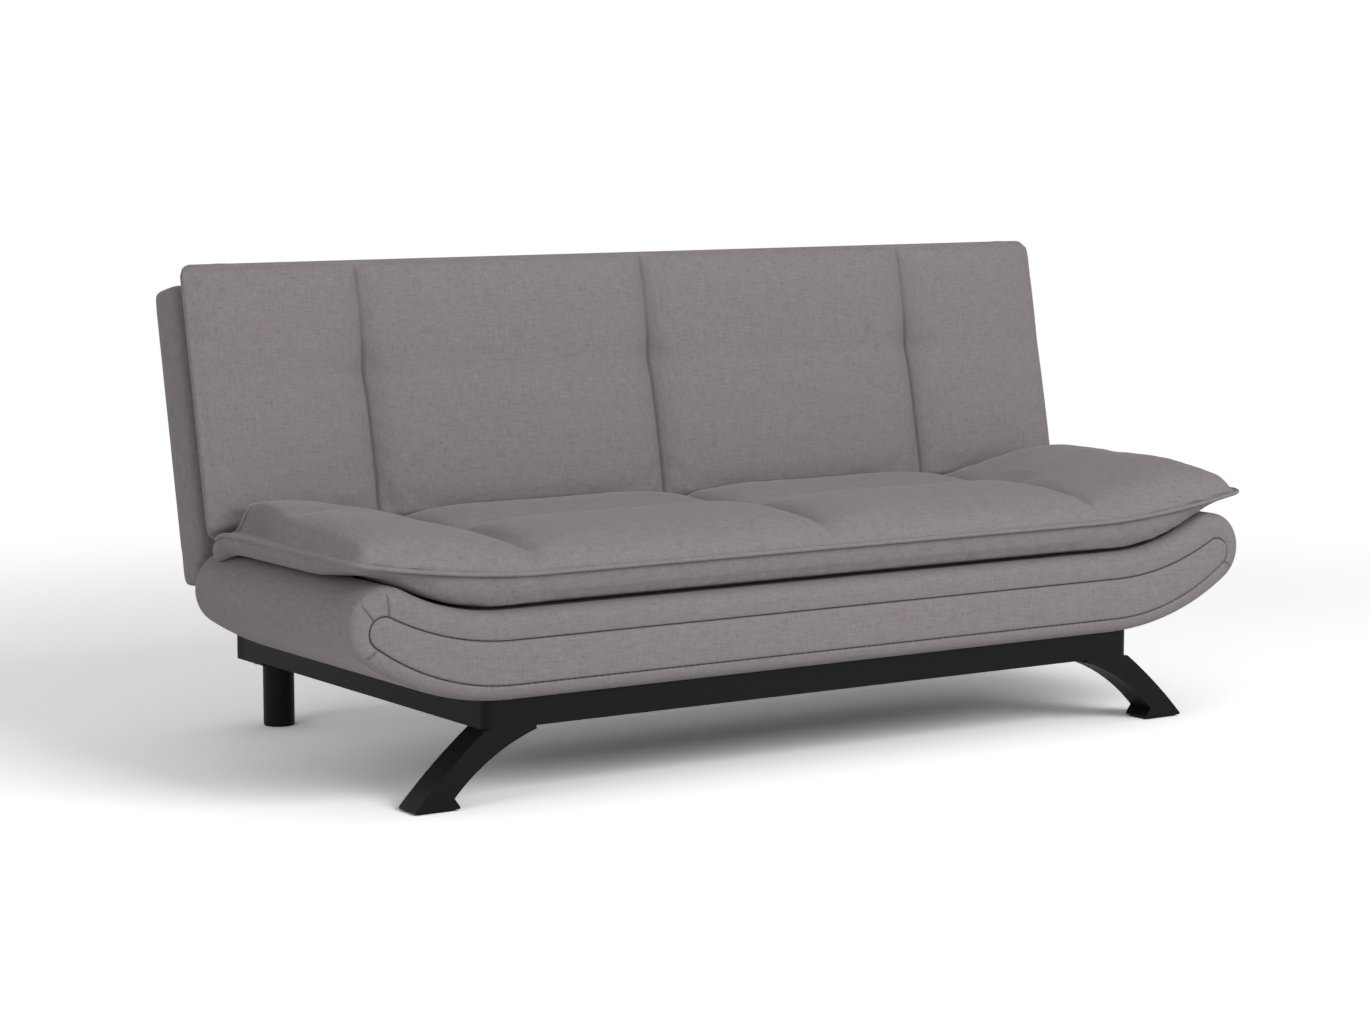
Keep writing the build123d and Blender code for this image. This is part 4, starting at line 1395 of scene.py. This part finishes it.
@dataclass
class BackPad(PillowPad):
    """Back pad, laid flat with its front up and its top edge at the far side."""

    top_edge: float = 0.556
    edge: float = 0.072
    seam_front: float = 0.086
    wing_front: float = 0.080
    crown: float = 18.0 * MM
    fold_bury: float = 22.0 * MM
    bury_end: Span = (0.80, 0.90)
    bury_run: Span = (0.08, 0.14)
    upper_fade: float = 0.45
    upper_run: float = 0.12

    def outer_edge(self, x: Array) -> Array:
        """Returns the top edge, as rows of y and z."""
        return np.column_stack([self.top_edge - self.corner(x), np.full(len(x), self.edge)])

    def fold_y(self, height: Array) -> Array:
        """Returns how low the pad may reach at a height."""
        return height / math.tan(FOLD_HALF) + FOLD_SHIFT

    def fold_edge(self, x: Array) -> Array:
        """Finds the lower edge.

        Args:
            x: places along the back.

        Returns:
            Rows of y and z.
        """
        share = self.wing_share(x)
        inner = np.clip(np.abs(x) / self.seam_x, 0.0, 1.0)
        top = (self.seam_front + self.crown * bow(inner)
               + (self.wing_front - self.seam_front) * share + self.crown * bow(share))
        thick = np.minimum(1.0, (top - self.edge) / (self.seam_front - self.edge))
        height = top - self.end_dip_share * self.row_dip * thick
        return np.column_stack([self.fold_y(height) + self.fold_sink + self.corner(x), height])

    def edge_path(self) -> Array:
        """Finds the closed path of the seamed edge, which is buried in the pad along the fold.

        Returns:
            Points along the path.
        """
        path = super().edge_path()
        low = 1.0 - ease(path[:, 1], *self.bury_run)
        path[:, 2] -= self.fold_bury * low * (1.0 - ease(np.abs(path[:, 0]), *self.bury_end))
        return path

    def in_fold(self, points: Array) -> Array:
        """Returns 1 for points on the lower face, and 0 for the others."""
        return ease(self.fold_edge(points[:, 0])[:, 0] - points[:, 1], *FOLD_FACE)

    def seam_weight(self, points: Array) -> Array:
        """Returns how deep and how dark the sewn channels are: more so below the tufts. The dark is
        thread with painted shade in the groove.
        """
        upper = ease(points[:, 1], self.cross_seam, self.cross_seam + self.upper_run)
        return 1.0 - self.upper_fade * upper

    def finish_shape(self, points: Array) -> Array:
        """Returns the points with the fold's middle plane kept clear."""
        x, y, z = points.T
        return np.column_stack([x, np.maximum(y, self.fold_y(z)), z])


@dataclass
class BackSlab:
    """Upholstered slab of the back, with a welt round its rear face, in the back's own frame."""

    finishes: Finishes
    half_width: float = 0.962
    front: float = -10.7 * MM
    rear: float = 74.3 * MM
    low: float = 0.020
    high: float = 0.524
    corner: float = 14.0 * MM
    corner_steps: int = 5
    proud: float = 2.5 * MM
    held_facing: Span = (0.5, 0.8)
    held_seam: Span = (8.0 * MM, 20.0 * MM)
    voxel: float = 11.0 * MM
    skirt_width: float = 150.0 * MM
    skirt_drop: float = 38.0 * MM
    skirt_setback: float = 26.0 * MM
    skirt_lap: float = 16.0 * MM
    welt_radius: float = 3.5 * MM
    welt_inset: float = 5.0 * MM
    welt_corner: float = 30.0 * MM
    welt_corner_points: int = 9
    welt_run_points: int = 24
    welt_run_least: float = 50.0 * MM
    swelling: Swelling = field(default_factory=lambda: Swelling(cap=4.0 * MM, spare_cloth=0.004))

    def rounded_block(self, low: Array, high: Array) -> Piece:
        """Makes a block with round edges.

        Args:
            low: its lowest corner.
            high: its highest corner.

        Returns:
            The piece.
        """
        bpy.ops.object.select_all(action="DESELECT")
        bpy.ops.mesh.primitive_cube_add(size=1.0, location=(low + high) / 2, scale=high - low)
        piece = bpy.context.object
        bpy.ops.object.transform_apply(location=True, rotation=False, scale=True)
        bpy.ops.object.mode_set(mode="EDIT")
        bpy.ops.mesh.select_all(action="SELECT")
        bpy.ops.mesh.bevel(
            offset=self.corner, segments=self.corner_steps, profile=0.5, affect="EDGES")
        bpy.ops.object.mode_set(mode="OBJECT")
        return piece

    def build(self) -> Piece:
        """Makes the padded cover of the slab, with its lower corners hanging beside the hinges.

        Returns:
            The piece.
        """
        half, rear, high = (size + self.proud for size in (self.half_width, self.rear, self.high))
        piece = self.rounded_block(
            np.array([-half, self.front, self.low]), np.array([half, rear, high]))
        skirt_front = self.front + self.skirt_setback
        skirt_low, skirt_high = self.low - self.skirt_drop, self.low + self.skirt_lap
        skirts = [self.rounded_block(np.array([start, skirt_front, skirt_low]),
                                     np.array([start + self.skirt_width, rear, skirt_high]))
                  for start in (-half, half - self.skirt_width)]
        pick(piece)
        for skirt in skirts:
            skirt.select_set(True)
        bpy.ops.object.join()
        piece.name = "back_slab_cover"
        apply_modifier(piece, "REMESH", mode="VOXEL", voxel_size=self.voxel)
        points, normals = points_of(piece), normals_of(piece)
        against_pad = ease(-normals[:, 1], *self.held_facing)
        under = ease(-normals[:, 2], *self.held_facing)
        seam = 1.0 - ease(distance_to_path(points, self.welt_path()), *self.held_seam)
        self.swelling.run(piece, np.maximum.reduce([against_pad, under, seam]))
        apply_modifier(piece, "SUBSURF", levels=1, render_levels=1)
        set_points(piece, turned(points_of(piece), BACK_PLACE))
        shade(piece)
        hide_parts("back_cover")
        self.finishes.dress(piece, Slot.UPHOLSTERY, Body.BACK)
        return piece

    def welt_path(self) -> Array:
        """Finds the closed path of the welt round the rear face.

        Returns:
            Points along the path, in the back's own frame.
        """
        inset = self.welt_inset + self.welt_corner
        x_in = self.half_width - inset
        z_mid, z_in = (self.low + self.high) / 2, (self.high - self.low) / 2 - inset
        angle = np.linspace(0.0, math.pi / 2, self.welt_corner_points)
        path = []
        for quarter, (sx, sz) in enumerate(((1, 1), (-1, 1), (-1, -1), (1, -1))):
            turn = angle + quarter * math.pi / 2
            path.append(np.column_stack([sx * x_in + self.welt_corner * np.cos(turn),
                                         np.full(len(turn), self.rear - self.welt_inset),
                                         z_mid + sz * z_in + self.welt_corner * np.sin(turn)]))
        corners = np.vstack(path)
        steps = np.linspace(0.0, 1.0, self.welt_run_points, endpoint=False)[:, None]
        runs = [start + (end - start) * steps if np.linalg.norm(end - start) > self.welt_run_least
                else start[None] for start, end in zip(corners, np.roll(corners, -1, axis=0))]
        return np.vstack(runs)

    def build_welt(self) -> Piece:
        """Makes the welt round the rear face.

        Returns:
            The piece.
        """
        piece = piping("back_slab_welt", turned(self.welt_path(), BACK_PLACE), self.welt_radius)
        self.finishes.dress(piece, Slot.UPHOLSTERY, Body.BACK)
        return piece


# Studio


@dataclass(frozen=True)
class SoftLamp:
    """A soft box: where it hangs, what it looks at, its size and its power."""

    name: str
    place: tuple[float, float, float]
    aim: tuple[float, float, float]
    size: float
    watts: float

    def build(self) -> None:
        """Hangs the lamp."""
        bpy.ops.object.light_add(type="AREA", location=self.place)
        lamp = bpy.context.object
        lamp.name = self.name
        lamp.data.size = self.size
        lamp.data.energy = self.watts
        towards = np.array(self.aim) - np.array(self.place)
        lamp.rotation_euler = (math.atan2(math.hypot(towards[0], towards[1]), -towards[2]), 0.0,
                               math.atan2(-towards[0], towards[1]))


@dataclass(frozen=True)
class Studio:
    """White studio: a pale floor, soft boxes and the camera at the photograph's place."""

    floor_radius: float = 40.0
    floor_sides: int = 96
    floor_colour: float = 0.82
    floor_seen: float = 1.45
    lit_radius: float = 1.7
    white_radius: float = 3.4
    world_strength: float = 0.42
    lamps: tuple[SoftLamp, ...] = (
        SoftLamp("key_box", (0.9, -4.6, 3.2), (0.0, 0.0, 0.4), 2.6, 160.0),
        SoftLamp("fill_box", (-4.6, -1.6, 2.0), (0.0, 0.0, 0.4), 2.6, 34.0),
        SoftLamp("top_box", (0.3, 0.2, 4.6), (0.0, 0.0, 0.0), 3.0, 8.0),
    )
    camera_place: tuple[float, float, float] = (-3.571, -5.3677, 1.1937)
    camera_yaw: float = 33.6
    camera_pitch: float = -6.93
    lens: float = 88.87
    sensor: float = 36.0

    @staticmethod
    def seen_share(tree: bpy.types.NodeTree) -> bpy.types.NodeSocket:
        """Tells a surface that is looked at from one that only gives light.

        Args:
            tree: the node tree of the floor or the world.

        Returns:
            A socket: 1 for the camera, reflections and glass, and 0 for light.
        """
        rays = node(tree, "ShaderNodeLightPath", {}).outputs
        mirrored = node(tree, "ShaderNodeMath", {
            0: rays["Is Glossy Ray"], 1: rays["Is Transmission Ray"]}, operation="MAXIMUM")
        return node(tree, "ShaderNodeMath", {
            0: rays["Is Camera Ray"], 1: mirrored.outputs[0]}, operation="MAXIMUM").outputs[0]

    def build_floor(self) -> None:
        """Lays the floor, which keeps the sofa bed's shadow and is white to the camera."""
        bpy.ops.object.select_all(action="DESELECT")
        bpy.ops.mesh.primitive_circle_add(
            vertices=self.floor_sides, radius=self.floor_radius, fill_type="NGON")
        floor = bpy.context.object
        floor.name = "studio_floor"
        material = bpy.data.materials.new("matt_white_floor")
        material.use_nodes = True
        tree = material.node_tree
        tree.nodes.clear()
        seen = self.seen_share(tree)
        pale = node(tree, "ShaderNodeMapRange", {
            "Value": seen, "To Min": self.floor_colour, "To Max": self.floor_seen})
        paint = node(tree, "ShaderNodeBsdfDiffuse", {"Color": pale.outputs[0]})
        place = node(tree, "ShaderNodeTexCoord", {}).outputs["Object"]
        radius = node(tree, "ShaderNodeVectorMath", {0: place}, operation="LENGTH")
        away = node(tree, "ShaderNodeMapRange", {
            "Value": radius.outputs["Value"], "From Min": self.lit_radius,
            "From Max": self.white_radius}, interpolation_type="SMOOTHSTEP")
        fade = node(tree, "ShaderNodeMath", {0: away.outputs[0], 1: seen}, operation="MULTIPLY")
        white = node(tree, "ShaderNodeEmission", {"Strength": 1.0})
        both = node(tree, "ShaderNodeMixShader", {
            0: fade.outputs[0], 1: paint.outputs[0], 2: white.outputs[0]})
        node(tree, "ShaderNodeOutputMaterial", {"Surface": both.outputs[0]})
        floor.data.materials.append(material)

    def build_world(self) -> None:
        """Surrounds the scene with white that lights it softly."""
        world = bpy.data.worlds.new("white_surround")
        world.use_nodes = True
        tree = world.node_tree
        tree.nodes.clear()
        seen = self.seen_share(tree)
        strength = node(tree, "ShaderNodeMapRange", {
            "Value": seen, "To Min": self.world_strength, "To Max": 1.0})
        white = node(tree, "ShaderNodeBackground", {
            "Color": (1.0, 1.0, 1.0, 1.0), "Strength": strength.outputs[0]})
        node(tree, "ShaderNodeOutputWorld", {"Surface": white.outputs[0]})
        bpy.context.scene.world = world

    def build_camera(self) -> None:
        """Sets the camera up where the photograph was taken from."""
        bpy.ops.object.camera_add(
            location=self.camera_place,
            rotation=(math.radians(90 + self.camera_pitch), 0.0, math.radians(-self.camera_yaw)))
        camera = bpy.context.object
        camera.name = "studio_camera"
        camera.data.sensor_fit = "HORIZONTAL"
        camera.data.sensor_width = self.sensor
        camera.data.lens = self.lens
        bpy.context.scene.camera = camera

    def build(self) -> None:
        """Builds the whole studio."""
        self.build_floor()
        self.build_world()
        for lamp in self.lamps:
            lamp.build()
        self.build_camera()
        bpy.context.scene.view_settings.view_transform = "Standard"


def main() -> None:
    """Builds the studio, the finishes and every soft piece in order, and reports each piece."""
    logging.basicConfig(level=logging.INFO, format="%(name)s: %(message)s")
    Studio().build()
    finishes = Finishes()
    finishes.dress_frame()
    stuffing = Swelling(cap=6.0 * MM)
    base = SeatBase(finishes)
    seat = SeatPad(
        finishes, "seat_pad", "seat_pad_cover", Body.BASE, Matrix.Identity(4), half_width=0.980,
        corner_start=0.910, corner_power=2.6, cross_seam=-0.170, swelling=stuffing, fill=0.7,
        sewn_corner=26.0 * MM, row_dip=9.0 * MM, row_fill=-22.0 * MM, wing_fill=12.0 * MM,
        tuft_drop=3.0 * MM, shoulder=28.0 * MM, voxel=11.1 * MM, piping_radius=3.9 * MM,
        piping_inset=-1.0 * MM)
    back = BackPad(
        finishes, "back_pad", "back_pad_cover", Body.BACK, LYING_TO_STANDING, half_width=0.974,
        corner_start=0.8693, corner_power=3.4, cross_seam=0.342, swelling=stuffing, fill=0.65,
        sewn_corner=18.0 * MM, row_dip=4.0 * MM, row_fill=0.0, wing_fill=0.0, tuft_drop=4.0 * MM,
        shoulder=12.0 * MM, piping_radius=3.0 * MM, piping_inset=6.0 * MM, piping_sink=6.0 * MM,
        lip_groove=2.5 * MM)
    slab = BackSlab(finishes)
    for build in (base.build_cover, base.build_panel, seat.build, seat.build_piping, back.build,
                  back.build_piping, slab.build, slab.build_welt):
        piece = build()
        log.info("%s: %d faces", piece.name, len(piece.data.polygons))


if __name__ == "__main__":
    main()
